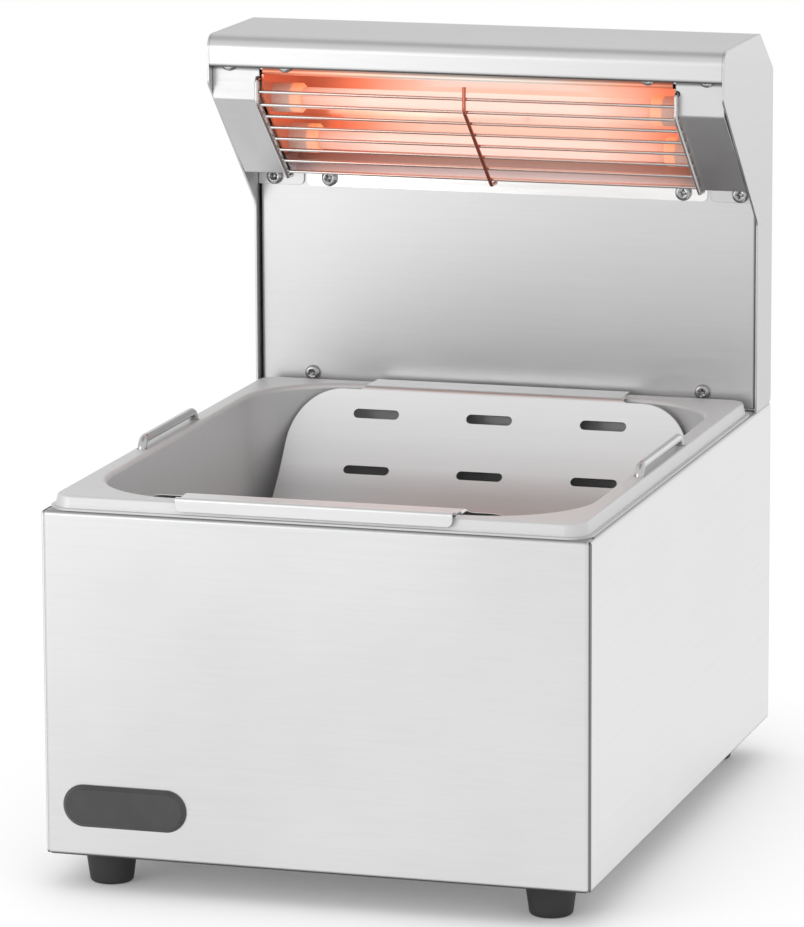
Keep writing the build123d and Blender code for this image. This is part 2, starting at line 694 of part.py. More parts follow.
def heater_rail():
    """Angle rail behind the upper flanges, hung under the hood's top."""
    back = BAY_FRONT + SHEET
    outline = [
        (back, HOOD_TOP - SHEET - RAIL_LEG),
        (back, HOOD_TOP - SHEET),
        (back + RAIL_FOOT, HOOD_TOP - SHEET),
    ]
    rail = extrude_x(folded(outline, [BEND], -SHEET), -INNER_HALF + SEAM, INNER_HALF - SEAM)
    return rail - holes(UPPER_OUTER + UPPER_INNER, (0, 1, 0), BAY_HOLE, RETURN_WIDTH)


def wire_guard():
    """Welded guard: bars across the bay and three bent frame wires; the outer two hook into the covers."""
    line = cover_line()[:3]
    bar_line = shifted(line, -(GUARD_GAP + GUARD_BAR / 2))
    frame_offset = GUARD_GAP + GUARD_BAR + GUARD_FRAME / 2 - GUARD_WELD
    frame_line = shifted(line, -frame_offset)
    along, _ = slope_direction()
    slope_length = math.hypot(bar_line[2][0] - bar_line[1][0], bar_line[2][1] - bar_line[1][1])
    step = (slope_length - GUARD_KNEE_BAR - GUARD_LAST_BAR) / (GUARD_BARS_ON_SLOPE - 1)
    centers = [(bar_line[1][0], bar_line[1][1] + GUARD_FIRST_BAR)]
    for index in range(GUARD_BARS_ON_SLOPE):
        distance = GUARD_KNEE_BAR + index * step
        centers.append((bar_line[1][0] + along[0] * distance, bar_line[1][1] + along[1] * distance))
    half = GUARD_SIDE + GUARD_FRAME / 2
    guard = Part()
    for y, z in centers:
        guard += rod((-half, y, z), (half, y, z), GUARD_BAR)
    hook_z = BAY_EDGE_Z - GUARD_GAP - GUARD_FRAME / 2
    fraction = (frame_line[1][1] - hook_z) / (frame_line[1][1] - frame_line[2][1])
    hook_y = frame_line[1][0] + fraction * (frame_line[2][0] - frame_line[1][0])
    for x in (-GUARD_SIDE, 0, GUARD_SIDE):
        points = [
            (x, frame_line[0][0], GUARD_TOP),
            (x, frame_line[1][0], frame_line[1][1]),
            (x, hook_y, hook_z),
            (x, hook_y + GUARD_HOOK, hook_z),
        ]
        bends = [GUARD_BEND, GUARD_HOOK_BEND]
        if x:
            points.insert(0, (x, frame_line[0][0] + GUARD_TOP_REACH, GUARD_TOP))
            bends.insert(0, GUARD_HOOK_BEND)
        guard += bent_rod(points, bends, GUARD_FRAME)
    return guard


# Pan, handles and cradle

def rounded_plate(width, length, corner):
    return Pos(0, PAN_Y) * RectangleRounded(width, length, corner)


def handle_places():
    x = RIM_WIDTH / 2 - HANDLE_INSET
    middle = PAN_Y - HANDLE_FORWARD
    return [(side * x, middle + end * HANDLE_SPAN / 2) for side in (-1, 1) for end in (-1, 1)]


def pan():
    """Deep-drawn pan: flange, leaning skirt and resting lip round a tapered well."""
    foot_width = RIM_WIDTH - 2 * RIM_LIP
    foot_length = RIM_LENGTH - 2 * RIM_LIP
    skirt_foot = rounded_plate(foot_width, foot_length, RIM_CORNER - RIM_LIP)
    skirt = extrude(Pos(0, 0, TOP) * skirt_foot, amount=RIM_HEIGHT, taper=RIM_SKIRT_LEAN)
    skirt = fillet(skirt.edges().group_by(Axis.Z)[-1], RIM_EDGE_RADIUS)
    wall = PAN_SHEET / math.cos(math.radians(RIM_SKIRT_LEAN))
    hollow_width = foot_width - 2 * wall
    hollow_length = foot_length - 2 * wall
    hollow_foot = rounded_plate(hollow_width, hollow_length, RIM_CORNER - RIM_LIP - wall)
    hollow_height = RIM_HEIGHT - PAN_SHEET
    hollow = extrude(Pos(0, 0, TOP) * hollow_foot, amount=hollow_height, taper=RIM_SKIRT_LEAN)
    hollow = fillet(hollow.edges().group_by(Axis.Z)[-1], RIM_EDGE_RADIUS - PAN_SHEET)
    lip = extrude_z(rounded_plate(RIM_WIDTH, RIM_LENGTH, RIM_CORNER), TOP, TOP + RIM_LIP_THICKNESS)
    lip_hole = rounded_plate(foot_width - wall, foot_length - wall, RIM_CORNER - RIM_LIP)
    lip -= extrude_z(lip_hole, TOP, TOP + RIM_HEIGHT)
    width = 2 * OPENING_HALF_WIDTH
    length = 2 * OPENING_HALF_LENGTH
    shell_top = rounded_plate(width + 2 * PAN_SHEET, length + 2 * PAN_SHEET, PAN_CORNER + PAN_SHEET)
    shell = extrude(Pos(0, 0, RIM_TOP) * shell_top, amount=-PAN_DEPTH - PAN_SHEET, taper=PAN_DRAFT)
    shell = fillet(shell.edges().group_by(Axis.Z)[0], PAN_FLOOR_RADIUS + PAN_SHEET)
    well_top = rounded_plate(width, length, PAN_CORNER)
    well = extrude(Pos(0, 0, RIM_TOP) * well_top, amount=-PAN_DEPTH, taper=PAN_DRAFT)
    well = fillet(well.edges().group_by(Axis.Z)[0], PAN_FLOOR_RADIUS)
    result = skirt - hollow + shell
    under_roll = [
        edge for edge in result.edges()
        if abs(edge.center().Z - (RIM_TOP - PAN_SHEET)) < 0.05
        and all(abs(v.X) < OPENING_HALF_WIDTH + 2 * PAN_SHEET for v in edge.vertices())
    ]
    result = fillet(under_roll, PAN_ROLL_RADIUS - PAN_SHEET)
    result = result - well
    mouth = [
        edge for edge in result.edges()
        if abs(edge.center().Z - RIM_TOP) < 0.05
        and all(abs(v.X) < OPENING_HALF_WIDTH + PAN_SHEET for v in edge.vertices())
    ]
    result = fillet(mouth, PAN_ROLL_RADIUS) + lip
    eyes = [(x, y, RIM_TOP) for x, y in handle_places()]
    return result - holes(eyes, (0, 0, 1), HANDLE_WIRE + 2 * HANDLE_HOLE_CLEARANCE, RIM_HEIGHT)


def pan_handle():
    """Right-hand wire bow, pushed down: its swaged ends stop it under the flange when pulled up."""
    (x, near), (_, far) = handle_places()[2:]
    bar_z = RIM_TOP + HANDLE_REST_HEIGHT
    end_z = RIM_TOP - PAN_SHEET - HANDLE_HOLE_CLEARANCE - HANDLE_TRAVEL - HANDLE_STOP_THICKNESS
    points = [(x, near, end_z), (x, near, bar_z), (x, far, bar_z), (x, far, end_z)]
    bow = bent_rod(points, HANDLE_BEND, HANDLE_WIRE)
    for y in (near, far):
        bow += rod((x, y, end_z), (x, y, end_z + HANDLE_STOP_THICKNESS), HANDLE_STOP_DIAMETER)
    return bow


def insert_arc():
    """Radius and centre height of the cradle's lower face, from the pan it hangs in."""
    sag = PAN_DEPTH - INSERT_FLOOR_GAP
    half_chord = OPENING_HALF_LENGTH - INSERT_END_GAP
    radius = (half_chord ** 2 + sag ** 2) / (2 * sag)
    return half_chord, radius, RIM_TOP - sag + radius


def insert_section():
    """Side view of the cradle: rear tab, bend, arc, bend, front tab and grip, as one folded sheet."""
    _, radius, center_z = insert_arc()
    bend = INSERT_BEND - INSERT_SHEET
    bend_z = RIM_TOP - bend
    reach = math.sqrt((radius + bend) ** 2 - (center_z - bend_z) ** 2)
    toward_y = -reach / (radius + bend)
    toward_z = (center_z - bend_z) / (radius + bend)
    half_length = math.hypot(toward_y, toward_z + 1)
    half_y = toward_y / half_length
    half_z = (toward_z + 1) / half_length
    rim_front = PAN_Y - RIM_LENGTH / 2
    grip_y = rim_front + RIM_LIP - GRIP_CLEARANCE
    front_points = [
        (PAN_Y - reach, RIM_TOP),
        (rim_front + RIM_LIP + GRIP_FLAT, RIM_TOP),
        (grip_y, RIM_TOP + GRIP_RISE),
        (grip_y, RIM_TOP + INSERT_SHEET + GRIP_RISE - GRIP_DROP),
    ]
    front_lines = fold_lines(front_points, [INSERT_BEND, INSERT_SHEET / 2], -INSERT_SHEET)
    faces = []
    for raised, front_line in zip((0, INSERT_SHEET), front_lines):
        curve = bend + raised
        bends = {}
        for side in (1, -1):
            bends[side] = [
                (PAN_Y + side * reach, RIM_TOP + raised),
                (PAN_Y + side * (reach + curve * half_y), bend_z + curve * half_z),
                (PAN_Y + side * (reach + curve * toward_y), bend_z + curve * toward_z),
            ]
        lowest = (PAN_Y, center_z - radius + raised)
        faces.append([
            Line((RIM_REAR - INSERT_TAB_SETBACK, RIM_TOP + raised), bends[1][0]),
            ThreePointArc(*bends[1]),
            ThreePointArc(bends[1][2], lowest, bends[-1][2]),
            ThreePointArc(*bends[-1]),
            front_line,
        ])
    return closed_section(*faces)


def fry_insert():
    """Cradle with rounded shoulders, narrower tabs and rows of drain slots through the arc."""
    half_chord, radius, center_z = insert_arc()
    rim_front = PAN_Y - RIM_LENGTH / 2
    section = insert_section()
    half_width = OPENING_HALF_WIDTH - INSERT_SIDE_GAP
    plate = extrude_x(section, -half_width, half_width)
    shoulder_top = RIM_TOP - INSERT_SHEET
    hang = (Align.CENTER, Align.MAX)
    body_outline = Pos(0, shoulder_top) * Rectangle(2 * half_width, 2 * PAN_DEPTH, align=hang)
    body_outline = fillet(body_outline.vertices().group_by(Axis.Y)[-1], INSERT_SHOULDER)
    tab_half = half_width - INSERT_SHOULDER - INSERT_TAB_LEDGE
    tab_outline = Pos(0, shoulder_top) * Rectangle(2 * tab_half, 4 * PAN_DEPTH)
    outline = body_outline + tab_outline
    notches = outline.vertices().filter_by(
        lambda v: abs(abs(v.X) - tab_half) < 0.01 and abs(v.Y - shoulder_top) < 0.01
    )
    outline = fillet(notches, INSERT_TAB_NOTCH)
    wide_part = extrude_y(outline, PAN_Y - OPENING_HALF_LENGTH, PAN_Y + OPENING_HALF_LENGTH)
    plate = plate & (wide_part + extrude_y(tab_outline, FRONT, BACK))
    grip_corners = plate.edges().filter_by(Axis.Y).filter_by(
        lambda e: e.center().Y < rim_front + RIM_LIP and e.center().Z < RIM_TOP
    )
    plate = fillet(grip_corners, GRIP_CORNER)
    end_angle = math.asin(half_chord / radius)
    row_count = int((2 * end_angle * radius - 2 * SLOT_FIRST_ROW) / SLOT_ROW_PITCH) + 1
    slot = SlotOverall(SLOT_LENGTH, SLOT_WIDTH)
    cutters = []
    for row in range(row_count):
        angle = end_angle - (SLOT_FIRST_ROW + row * SLOT_ROW_PITCH) / radius
        outward = (0, math.sin(angle), -math.cos(angle))
        for column in (-1, 0, 1):
            x = column * SLOT_COLUMN_PITCH
            origin = (x, PAN_Y + radius * outward[1], center_z + radius * outward[2])
            place = Plane(origin=origin, x_dir=(1, 0, 0), z_dir=outward)
            cutters.append(extrude(place * slot, amount=2 * INSERT_SHEET, both=True))
    return plate - cutters


# Badge and feet

def badge_plate():
    center_x = -CASING_WIDTH / 2 + BADGE_SIDE + BADGE_LENGTH / 2
    face = Pos(center_x, FLOOR + BADGE_LIFT) * SlotOverall(BADGE_LENGTH, BADGE_HEIGHT)
    plate = extrude_y(face, FRONT - BADGE_THICKNESS, FRONT)
    return chamfer(plate.faces().sort_by(Axis.Y)[0].edges(), BADGE_BEVEL)


def foot(place):
    """Tapered rubber foot with a pocket for its screw."""
    x, y, _ = place
    height = FOOT_HEIGHT + SHEET
    stand = (Align.CENTER, Align.CENTER, Align.MIN)
    body = Cone(FOOT_LOW_DIAMETER / 2, FOOT_TOP_DIAMETER / 2, height, align=stand)
    body = fillet(body.edges().sort_by(Axis.Z)[0], FOOT_EDGE_RADIUS)
    pocket = Cylinder(FOOT_POCKET_DIAMETER / 2, FOOT_POCKET_DEPTH, align=stand)
    bore = Cylinder(SMALL_HOLE / 2, height, align=stand)
    return Pos(x, y, 0) * (body - pocket - bore)


def foot_screws():
    length = INNER_FLOOR + FOOT_NUT_HEIGHT + SHEET - FOOT_POCKET_DEPTH
    places = [(x, y, FOOT_POCKET_DEPTH) for x, y, _ in FOOT_PLACES]
    return screws(places, (0, 0, -1), SMALL_SCREW_HEAD, SMALL_SCREW_SHANK, length)


def foot_nuts():
    ring = RegularPolygon(FOOT_NUT_ACROSS / 2, 6, major_radius=False) - Circle(SMALL_HOLE / 2)
    nut = extrude(ring, amount=FOOT_NUT_HEIGHT)
    return Compound([Pos(x, y, INNER_FLOOR) * nut for x, y, _ in FOOT_PLACES])


# Electrics

def gland_body():
    """Cable gland: hexagon and dome outside the back panel, threaded tail inside."""
    hexagon = RegularPolygon(GLAND_HEX / 2, 6, major_radius=False)
    body = extrude(hexagon, amount=GLAND_HEX_THICKNESS)
    dome = Pos(0, 0, GLAND_HEX_THICKNESS) * Cylinder(
        GLAND_DOME / 2, GLAND_DOME_LENGTH, align=(Align.CENTER, Align.CENTER, Align.MIN)
    )
    dome = fillet(dome.edges().sort_by(Axis.Z)[-1], GLAND_DOME_LENGTH / 3)
    tail = Cylinder(GLAND_THREAD / 2, GLAND_TAIL, align=(Align.CENTER, Align.CENTER, Align.MAX))
    bore = Cylinder(GLAND_BORE / 2, 4 * GLAND_TAIL)
    return Plane(origin=(GLAND_X, BACK, FLOOR + GLAND_LIFT), z_dir=(0, 1, 0)) * (body + dome + tail - bore)


def gland_nut():
    ring = RegularPolygon(GLAND_HEX / 2, 6, major_radius=False) - Circle(GLAND_THREAD / 2 + CAP_FIT)
    nut = extrude(ring, amount=-GLAND_NUT_THICKNESS)
    return Plane(origin=(GLAND_X, BACK - SHEET, FLOOR + GLAND_LIFT), z_dir=(0, 1, 0)) * nut


SWITCH_PLACE = (SWITCH_X, BACK, FLOOR + SWITCH_LIFT)


def switch_body():
    """Snap-in switch housing with a framed pocket for the rocker and two pivot eyes."""
    x, y, z = SWITCH_PLACE
    frame_face = Pos(x, z) * RectangleRounded(SWITCH_FRAME_WIDTH, SWITCH_FRAME_HEIGHT, BEND)
    frame = extrude_y(frame_face, y, y + SWITCH_FRAME_THICKNESS)
    housing = Box(SWITCH_BODY_WIDTH, SWITCH_BODY_DEPTH, SWITCH_BODY_HEIGHT)
    housing = Pos(x, y - SWITCH_BODY_DEPTH / 2, z) * housing
    pocket = block(
        (x - ROCKER_WIDTH / 2 - ROCKER_GAP, y - SWITCH_POCKET_DEPTH, z - ROCKER_HEIGHT / 2 - ROCKER_GAP),
        (x + ROCKER_WIDTH / 2 + ROCKER_GAP, y + SWITCH_FRAME_THICKNESS, z + ROCKER_HEIGHT / 2 + ROCKER_GAP),
    )
    eye_reach = ROCKER_WIDTH / 2 + ROCKER_PIN_LENGTH + ROCKER_GAP
    eye = rod((x - eye_reach, y, z), (x + eye_reach, y, z), ROCKER_PIN + 2 * ROCKER_PIN_FIT)
    return frame + housing - pocket - eye


def switch_rocker():
    """Rocker on its pivot pins, tilted to off: its lower half stands proud."""
    x, y, z = SWITCH_PLACE
    tip = ROCKER_HEIGHT / 2 - ROCKER_GAP / 2
    outline = [
        (-ROCKER_DEPTH, -tip * ROCKER_TAPER),
        (ROCKER_TIP, -tip),
        (ROCKER_WAIST, 0),
        (ROCKER_TIP, tip),
        (-ROCKER_DEPTH, tip * ROCKER_TAPER),
    ]
    face = make_face(Polyline(*outline, close=True).edges())
    body = extrude_x(face, -ROCKER_WIDTH / 2, ROCKER_WIDTH / 2)
    pin_end = ROCKER_WIDTH / 2 + ROCKER_PIN_LENGTH
    pins = rod((-pin_end, 0, 0), (pin_end, 0, 0), ROCKER_PIN)
    return Pos(x, y, z) * (Rot(ROCKER_TILT, 0, 0) * (body + pins))


def terminal_block():
    """Three-pole block on the base plate, with a well over each clamp screw."""
    half = TERMINAL_PITCH / 2 - RETURN_GAP / 2
    body = Part()
    wells = []
    for pole in (-1, 0, 1):
        x = TERMINAL_X + pole * TERMINAL_PITCH
        tower = block(
            (x - half, WIRE_Y - TERMINAL_DEPTH / 2, INNER_FLOOR),
            (x + half, WIRE_Y + TERMINAL_DEPTH / 2, INNER_FLOOR + TERMINAL_HEIGHT),
        )
        body += chamfer(tower.edges().filter_by(Axis.X).group_by(Axis.Z)[-1], TERMINAL_CHAMFER)
        for side in (-1, 1):
            wells.append((x, WIRE_Y + side * TERMINAL_DEPTH * 0.3, INNER_FLOOR + TERMINAL_HEIGHT))
    foot_width = 1.5 * TERMINAL_PITCH - RETURN_GAP / 2
    body += block(
        (TERMINAL_X - foot_width, WIRE_Y - TERMINAL_DEPTH / 2, INNER_FLOOR),
        (TERMINAL_X + foot_width, WIRE_Y + TERMINAL_DEPTH / 2, INNER_FLOOR + TERMINAL_HEIGHT / 2),
    )
    return body - holes(wells, (0, 0, 1), TERMINAL_WELL, TERMINAL_HEIGHT)


def earth_stud():
    """Threaded stud through the base plate with its nut."""
    foot_z = FLOOR + SHEET
    stud = rod((EARTH_X, WIRE_Y, foot_z), (EARTH_X, WIRE_Y, foot_z + EARTH_STUD_LENGTH), EARTH_STUD)
    nut = extrude(RegularPolygon(EARTH_NUT / 2, 6, major_radius=False), amount=EARTH_NUT_THICKNESS)
    return stud + Pos(EARTH_X, WIRE_Y, INNER_FLOOR) * nut


def pole_top(pole):
    return (TERMINAL_X + pole * TERMINAL_PITCH, WIRE_Y, INNER_FLOOR + TERMINAL_HEIGHT)


def riser(side, start):
    """Last points of a wire that climbs the column and ends beside the lower heater post."""
    y, z = tube_centers()[1]
    x = side * (CAP_OUTER + POST_LENGTH / 2)
    return [
        (start[0], WIRE_Y, TOP - 0.3 * CASING_HEIGHT),
        (x, WIRE_Y, TOP + 0.2 * COLUMN_CLEAR),
        (x, WIRE_Y, z),
        (x, y + POST_DIAMETER / 2 + WIRE_END_GAP, z),
    ]


def neutral_wire():
    start = pole_top(-1)
    return bent_rod([start] + riser(-1, start), WIRE_BEND, WIRE)


def switch_terminal(side):
    x, y, z = SWITCH_PLACE
    return (x + side * SWITCH_BODY_WIDTH / 4, y - SWITCH_BODY_DEPTH, z)


def switched_wire():
    start = switch_terminal(-1)
    x, y, z = start
    reach = 1.2 * WIRE_BEND
    lead = [start, (x, y - reach, z), (x, y - reach, z + SWITCH_BODY_HEIGHT)]
    return bent_rod(lead + riser(1, start), WIRE_BEND * 0.7, WIRE)


def live_wire():
    start = pole_top(0)
    x, y, z = switch_terminal(1)
    lift = start[2] + 2 * WIRE_BEND
    reach = y - 1.6 * WIRE_BEND
    points = [start, (start[0], start[1], lift), (start[0] / 2, reach, lift), (x, reach, z), (x, y, z)]
    return bent_rod(points, WIRE_BEND * 0.8, WIRE)


def earth_wire():
    start = pole_top(1)
    lift = start[2] + 1.2 * WIRE_BEND
    top_of_stud = FLOOR + SHEET + EARTH_STUD_LENGTH
    points = [start, (start[0], WIRE_Y, lift), (EARTH_X, WIRE_Y, lift), (EARTH_X, WIRE_Y, top_of_stud)]
    return bent_rod(points, WIRE_BEND, WIRE)


def link_wires():
    (y0, z0), (y1, z1) = tube_centers()
    length = math.hypot(y1 - y0, z1 - z0)
    inset = (POST_DIAMETER / 2 + WIRE_END_GAP) / length
    links = []
    for side in (-1, 1):
        x = side * (CAP_OUTER + POST_LENGTH / 2)
        start = (x, y0 + (y1 - y0) * inset, z0 + (z1 - z0) * inset)
        end = (x, y1 - (y1 - y0) * inset, z1 - (z1 - z0) * inset)
        links.append(rod(start, end, WIRE))
    return Compound(links)


def mirrored(shape):
    return mirror(shape, about=Plane.YZ)


def all_nodes():
    """Every piece by name."""
    upper, lower = tube_centers()
    right_side = side_panel()
    right_cheek = cheek()
    right_cover = end_cover()
    right_end = end_plate()
    right_handle = pan_handle()
    upper_cap = ceramic_cap(upper)
    lower_cap = ceramic_cap(lower)
    nodes = {
        "front_panel": front_panel(),
        "back_panel": back_panel(),
        "side_panel_right": right_side,
        "side_panel_left": mirrored(right_side),
        "base_plate": base_plate(),
        "rear_deck": rear_deck(),
        "column_front_panel": column_front_panel(),
        "cheek_right": right_cheek,
        "cheek_left": mirrored(right_cheek),
        "hood_top": hood_top(),
        "rear_cover": rear_cover(),
        "end_cover_right": right_cover,
        "end_cover_left": mirrored(right_cover),
        "reflector": reflector(),
        "end_plate_right": right_end,
        "end_plate_left": mirrored(right_end),
        "heater_rail": heater_rail(),
        "wire_guard": wire_guard(),
        "quartz_tube_upper": quartz_tube(upper),
        "quartz_tube_lower": quartz_tube(lower),
        "heating_coil_upper": heating_coil(upper),
        "heating_coil_lower": heating_coil(lower),
        "ceramic_cap_upper_right": upper_cap,
        "ceramic_cap_upper_left": mirrored(upper_cap),
        "ceramic_cap_lower_right": lower_cap,
        "ceramic_cap_lower_left": mirrored(lower_cap),
        "heater_terminals": heater_terminals(),
        "pan": pan(),
        "pan_handle_right": right_handle,
        "pan_handle_left": mirrored(right_handle),
        "fry_insert": fry_insert(),
        "badge_plate": badge_plate(),
        "foot_screws": foot_screws(),
        "foot_nuts": foot_nuts(),
        "gland_body": gland_body(),
        "gland_nut": gland_nut(),
        "switch_body": switch_body(),
        "switch_rocker": switch_rocker(),
        "terminal_block": terminal_block(),
        "earth_stud": earth_stud(),
        "neutral_wire": neutral_wire(),
        "switched_wire": switched_wire(),
        "live_wire": live_wire(),
        "earth_wire": earth_wire(),
        "link_wires": link_wires(),
    }
    names = ["foot_front_left", "foot_front_right", "foot_rear_left", "foot_rear_right"]
    for name, place in zip(names, FOOT_PLACES):
        nodes[name] = foot(place)
    forward = (0, -1, 0)
    bay = (BAY_SCREW_HEAD, BAY_SCREW_SHANK, BAY_SCREW_LENGTH)
    small = (SMALL_SCREW_HEAD, SMALL_SCREW_SHANK, SMALL_SCREW_LENGTH)
    nodes["bay_screws_lower"] = screws(LOWER_OUTER + LOWER_INNER, forward, *bay)
    nodes["bay_screws_upper"] = screws(UPPER_OUTER + UPPER_INNER, forward, *bay)
    nodes["column_screws"] = screws(COLUMN_SCREWS, forward, *small)
    nodes["cheek_screws"] = screws(CHEEK_SCREWS, (0, 0, 1), *small)
    nodes["base_screws"] = screws(BASE_SCREWS, (0, 0, -1), *small)
    nodes["rear_cover_screws"] = screws(REAR_SCREWS, (0, 1, 0), *small)
    nodes["back_panel_screws"] = screws(BACK_SCREWS, (0, 1, 0), *small)
    return nodes


def main():
    os.makedirs("parts", exist_ok=True)
    for name, shape in all_nodes().items():
        export_step(shape, f"parts/{name}.step")


main()
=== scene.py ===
import json
import math

import bmesh
import bpy
from mathutils import Matrix, Vector


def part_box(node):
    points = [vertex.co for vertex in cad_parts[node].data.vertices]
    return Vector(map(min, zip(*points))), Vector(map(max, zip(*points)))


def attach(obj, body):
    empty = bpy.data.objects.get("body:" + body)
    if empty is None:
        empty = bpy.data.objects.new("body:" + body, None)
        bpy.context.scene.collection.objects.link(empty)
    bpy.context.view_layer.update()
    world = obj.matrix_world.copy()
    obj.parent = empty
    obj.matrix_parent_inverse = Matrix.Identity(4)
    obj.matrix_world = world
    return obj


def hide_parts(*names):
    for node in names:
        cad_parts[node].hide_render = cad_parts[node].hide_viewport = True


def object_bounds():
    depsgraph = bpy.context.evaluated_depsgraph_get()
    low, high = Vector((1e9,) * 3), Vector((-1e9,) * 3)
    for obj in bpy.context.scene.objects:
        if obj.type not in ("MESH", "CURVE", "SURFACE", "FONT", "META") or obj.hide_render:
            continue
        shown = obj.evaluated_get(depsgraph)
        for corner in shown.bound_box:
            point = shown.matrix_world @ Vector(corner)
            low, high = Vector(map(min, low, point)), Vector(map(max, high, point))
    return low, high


# Fry warmer: materials, heater glow, wound coils, screw recesses, rocker marks, light and camera.
# Metres, in the part's own frame: +Z up, front towards -Y.

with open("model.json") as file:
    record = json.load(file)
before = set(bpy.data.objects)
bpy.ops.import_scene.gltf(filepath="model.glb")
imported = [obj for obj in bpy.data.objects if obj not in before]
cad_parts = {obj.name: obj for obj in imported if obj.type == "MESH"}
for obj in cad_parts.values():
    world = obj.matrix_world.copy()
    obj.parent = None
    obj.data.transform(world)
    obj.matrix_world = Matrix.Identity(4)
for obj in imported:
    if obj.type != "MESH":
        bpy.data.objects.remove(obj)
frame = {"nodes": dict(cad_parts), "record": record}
cad_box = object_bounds()
nodes = frame["nodes"]
record = frame["record"]
slot_of = {row["node"]: row["material_slot"] for row in record["subparts"]}
body_of = {node: body for body, members in record["behaviour"]["bodies"].items() for node in members}

# Axes, and the two corners of a node's box
X, Y, Z = range(3)
LOW, HIGH = range(2)


def from_edge(node, corner, axis, *offsets):
    """Places on an axis, measured from the low or the high end of a node's box."""
    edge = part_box(node)[corner][axis]
    return tuple(edge + offset for offset in offsets)


def shade(tone, node, corner, axis, full, end):
    """Painted shade band: axis along which it fades, tone that it leaves, where it is full and where it
    ends.
    """
    return (axis, tone, *from_edge(node, corner, axis, full, end))


# Camera, fitted to the photograph; the sensor's size is that of the picture's longer side
CAMERA_TARGET = Vector((-0.0016, -0.0338, 0.1844))
CAMERA_AZIMUTH = 16.88
CAMERA_ELEVATION = 11.34
CAMERA_ROLL = -0.26
CAMERA_DISTANCE = 2.876
CAMERA_LENS = 228.97
CAMERA_SENSOR = 36.0

# Surroundings: ambient light, and the white that is seen, darker straight above
AMBIENT = 1.06
WHITE = (1.0, 1.0, 1.0, 1.0)
CEILING = 0.5
CEILING_START = 0.8
CEILING_FULL = 0.97

# Floor: half its size, its colour, and the distances from the part's box between which it turns white
FLOOR_HALF = 6.0
FLOOR_COLOR = (0.98, 0.98, 0.98, 1.0)
SHADOW_START = -0.03
SHADOW_REACH = 0.128

# Softboxes, and the point that they are aimed at
SOFTBOXES = {
    "front": {"place": (-0.75, -1.15, 0.4), "size": 0.66, "watts": 3.2},
    "rear": {"place": (1.2, 2.2, 0.6), "size": 1.1, "watts": 1.5},
}
SOFTBOX_AIM = Vector((0.0, 0.0, 0.18))

# Noise: the range that most of its values lie in, and how fine it is
NOISE_LOW = 0.3
NOISE_HIGH = 0.7
SOFT = 2.0
FINE = 3.0
CRISP = 4.0

# Painted shade on sharp edges: radius that rounds them, and how alike both normals are where an edge starts
# and is full
EDGE_RADIUS = 0.0008
EDGE_SAMPLES = 4
EDGE_START = 0.98
EDGE_FULL = 0.8

# Satin steel: sizes of grain, streaks and clouds, with their shares of the tone and of the roughness
SATIN_ROUGHNESS = 0.36
SATIN_ANISOTROPY = 0.3
SATIN_BLUE = 1.005
GRAIN_WIDTH = 0.0003
GRAIN_LENGTH = 0.02
GRAIN_DEPTH = 0.0000008
GRAIN_TONE = (0.985, 1.015)
GRAIN_ROUGH = (0.88, 1.14)
STREAK_WIDTH = 0.0016
STREAK_LENGTH = 0.09
STREAK_TONE = (0.99, 1.01)
CLOUD = 0.11
CLOUD_TONE = (0.98, 1.02)
CLOUD_ROUGH = (0.92, 1.1)

# Painted shade: dark bands in folds, in gaps and along edges; the lip's band ends behind the lip
LIP_SHADE = shade(0.1, "hood_top", HIGH, Z, -0.0161, -0.0139)
LIP_BACK = shade(0.0, "hood_top", LOW, Y, 0.0128, 0.0328)
GAP_SHADE = shade(0.3, "hood_top", HIGH, Z, -0.0172, -0.0184)
TOP_SHADE = shade(0.5, "front_panel", HIGH, Z, -0.0002, -0.0022)
FOOT_SHADE = shade(0.12, "front_panel", LOW, Z, 0.0008, 0.0018)
SEAM_SHADE = shade(0.65, "front_panel", HIGH, X, -0.0001, -0.0007)
SIDE_SHADE = shade(0.32, "side_panel_right", LOW, Y, 0.0001, 0.0003)
COLUMN_SHADE = shade(0.05, "column_front_panel", HIGH, X, -0.0005, -0.0019)
CRADLE_SHADE = shade(0.78, "fry_insert", LOW, Z, 0.0452, 0.0557)

# Steel sheets: tone, which differs from part to part largely as painted light and shade; axis of the grain;
# share of the tone on edges, painted shade; and what sets some of them apart
STEEL = {
    "satin_steel": {"tone": 0.6, "grain": X, "edge": 0.5},
    "pan_steel": {"tone": 0.58, "grain": X, "edge": 0.8, "roughness": 0.45, "metallic": 0.45},
    "satin_front": {"tone": 0.7, "grain": X, "edge": 0.15, "shades": (TOP_SHADE, FOOT_SHADE, SEAM_SHADE)},
    "satin_side": {"tone": 0.8, "grain": Y, "edge": 0.4, "shades": (TOP_SHADE, FOOT_SHADE, SIDE_SHADE)},
    "satin_side_left": {"tone": 0.8, "grain": Y, "edge": 0.4, "shades": (TOP_SHADE, FOOT_SHADE)},
    "satin_column": {"tone": 0.6, "grain": X, "edge": 0.5, "shades": (COLUMN_SHADE,)},
    "satin_cheek": {"tone": 0.63, "grain": Y, "edge": 0.5},
    "satin_cradle": {"tone": 0.71, "grain": X, "edge": 0.85, "shades": (CRADLE_SHADE,)},
    "satin_hood": {"tone": 0.61, "grain": X, "edge": 0.3, "grazing": 0.82, "shades": (LIP_SHADE,),
                   "shade_end": LIP_BACK},
    "satin_cover": {"tone": 0.58, "grain": X, "edge": 0.5, "shades": (GAP_SHADE,)},
}

# Bright wires and screws: scuffs and a faint tarnish
SCUFF = 0.0007
SCUFF_DEPTH = 0.000004
SCUFF_TONE = (0.94, 1.05)
SCUFF_ROUGH = (0.8, 1.35)
TARNISH = 0.02
TARNISH_TONE = (0.96, 1.03)
METAL = {
    "wire_steel": {"color": (0.5, 0.5, 0.505), "roughness": 0.16},
    "screw_steel": {"color": (0.4, 0.4, 0.405), "roughness": 0.2},
}

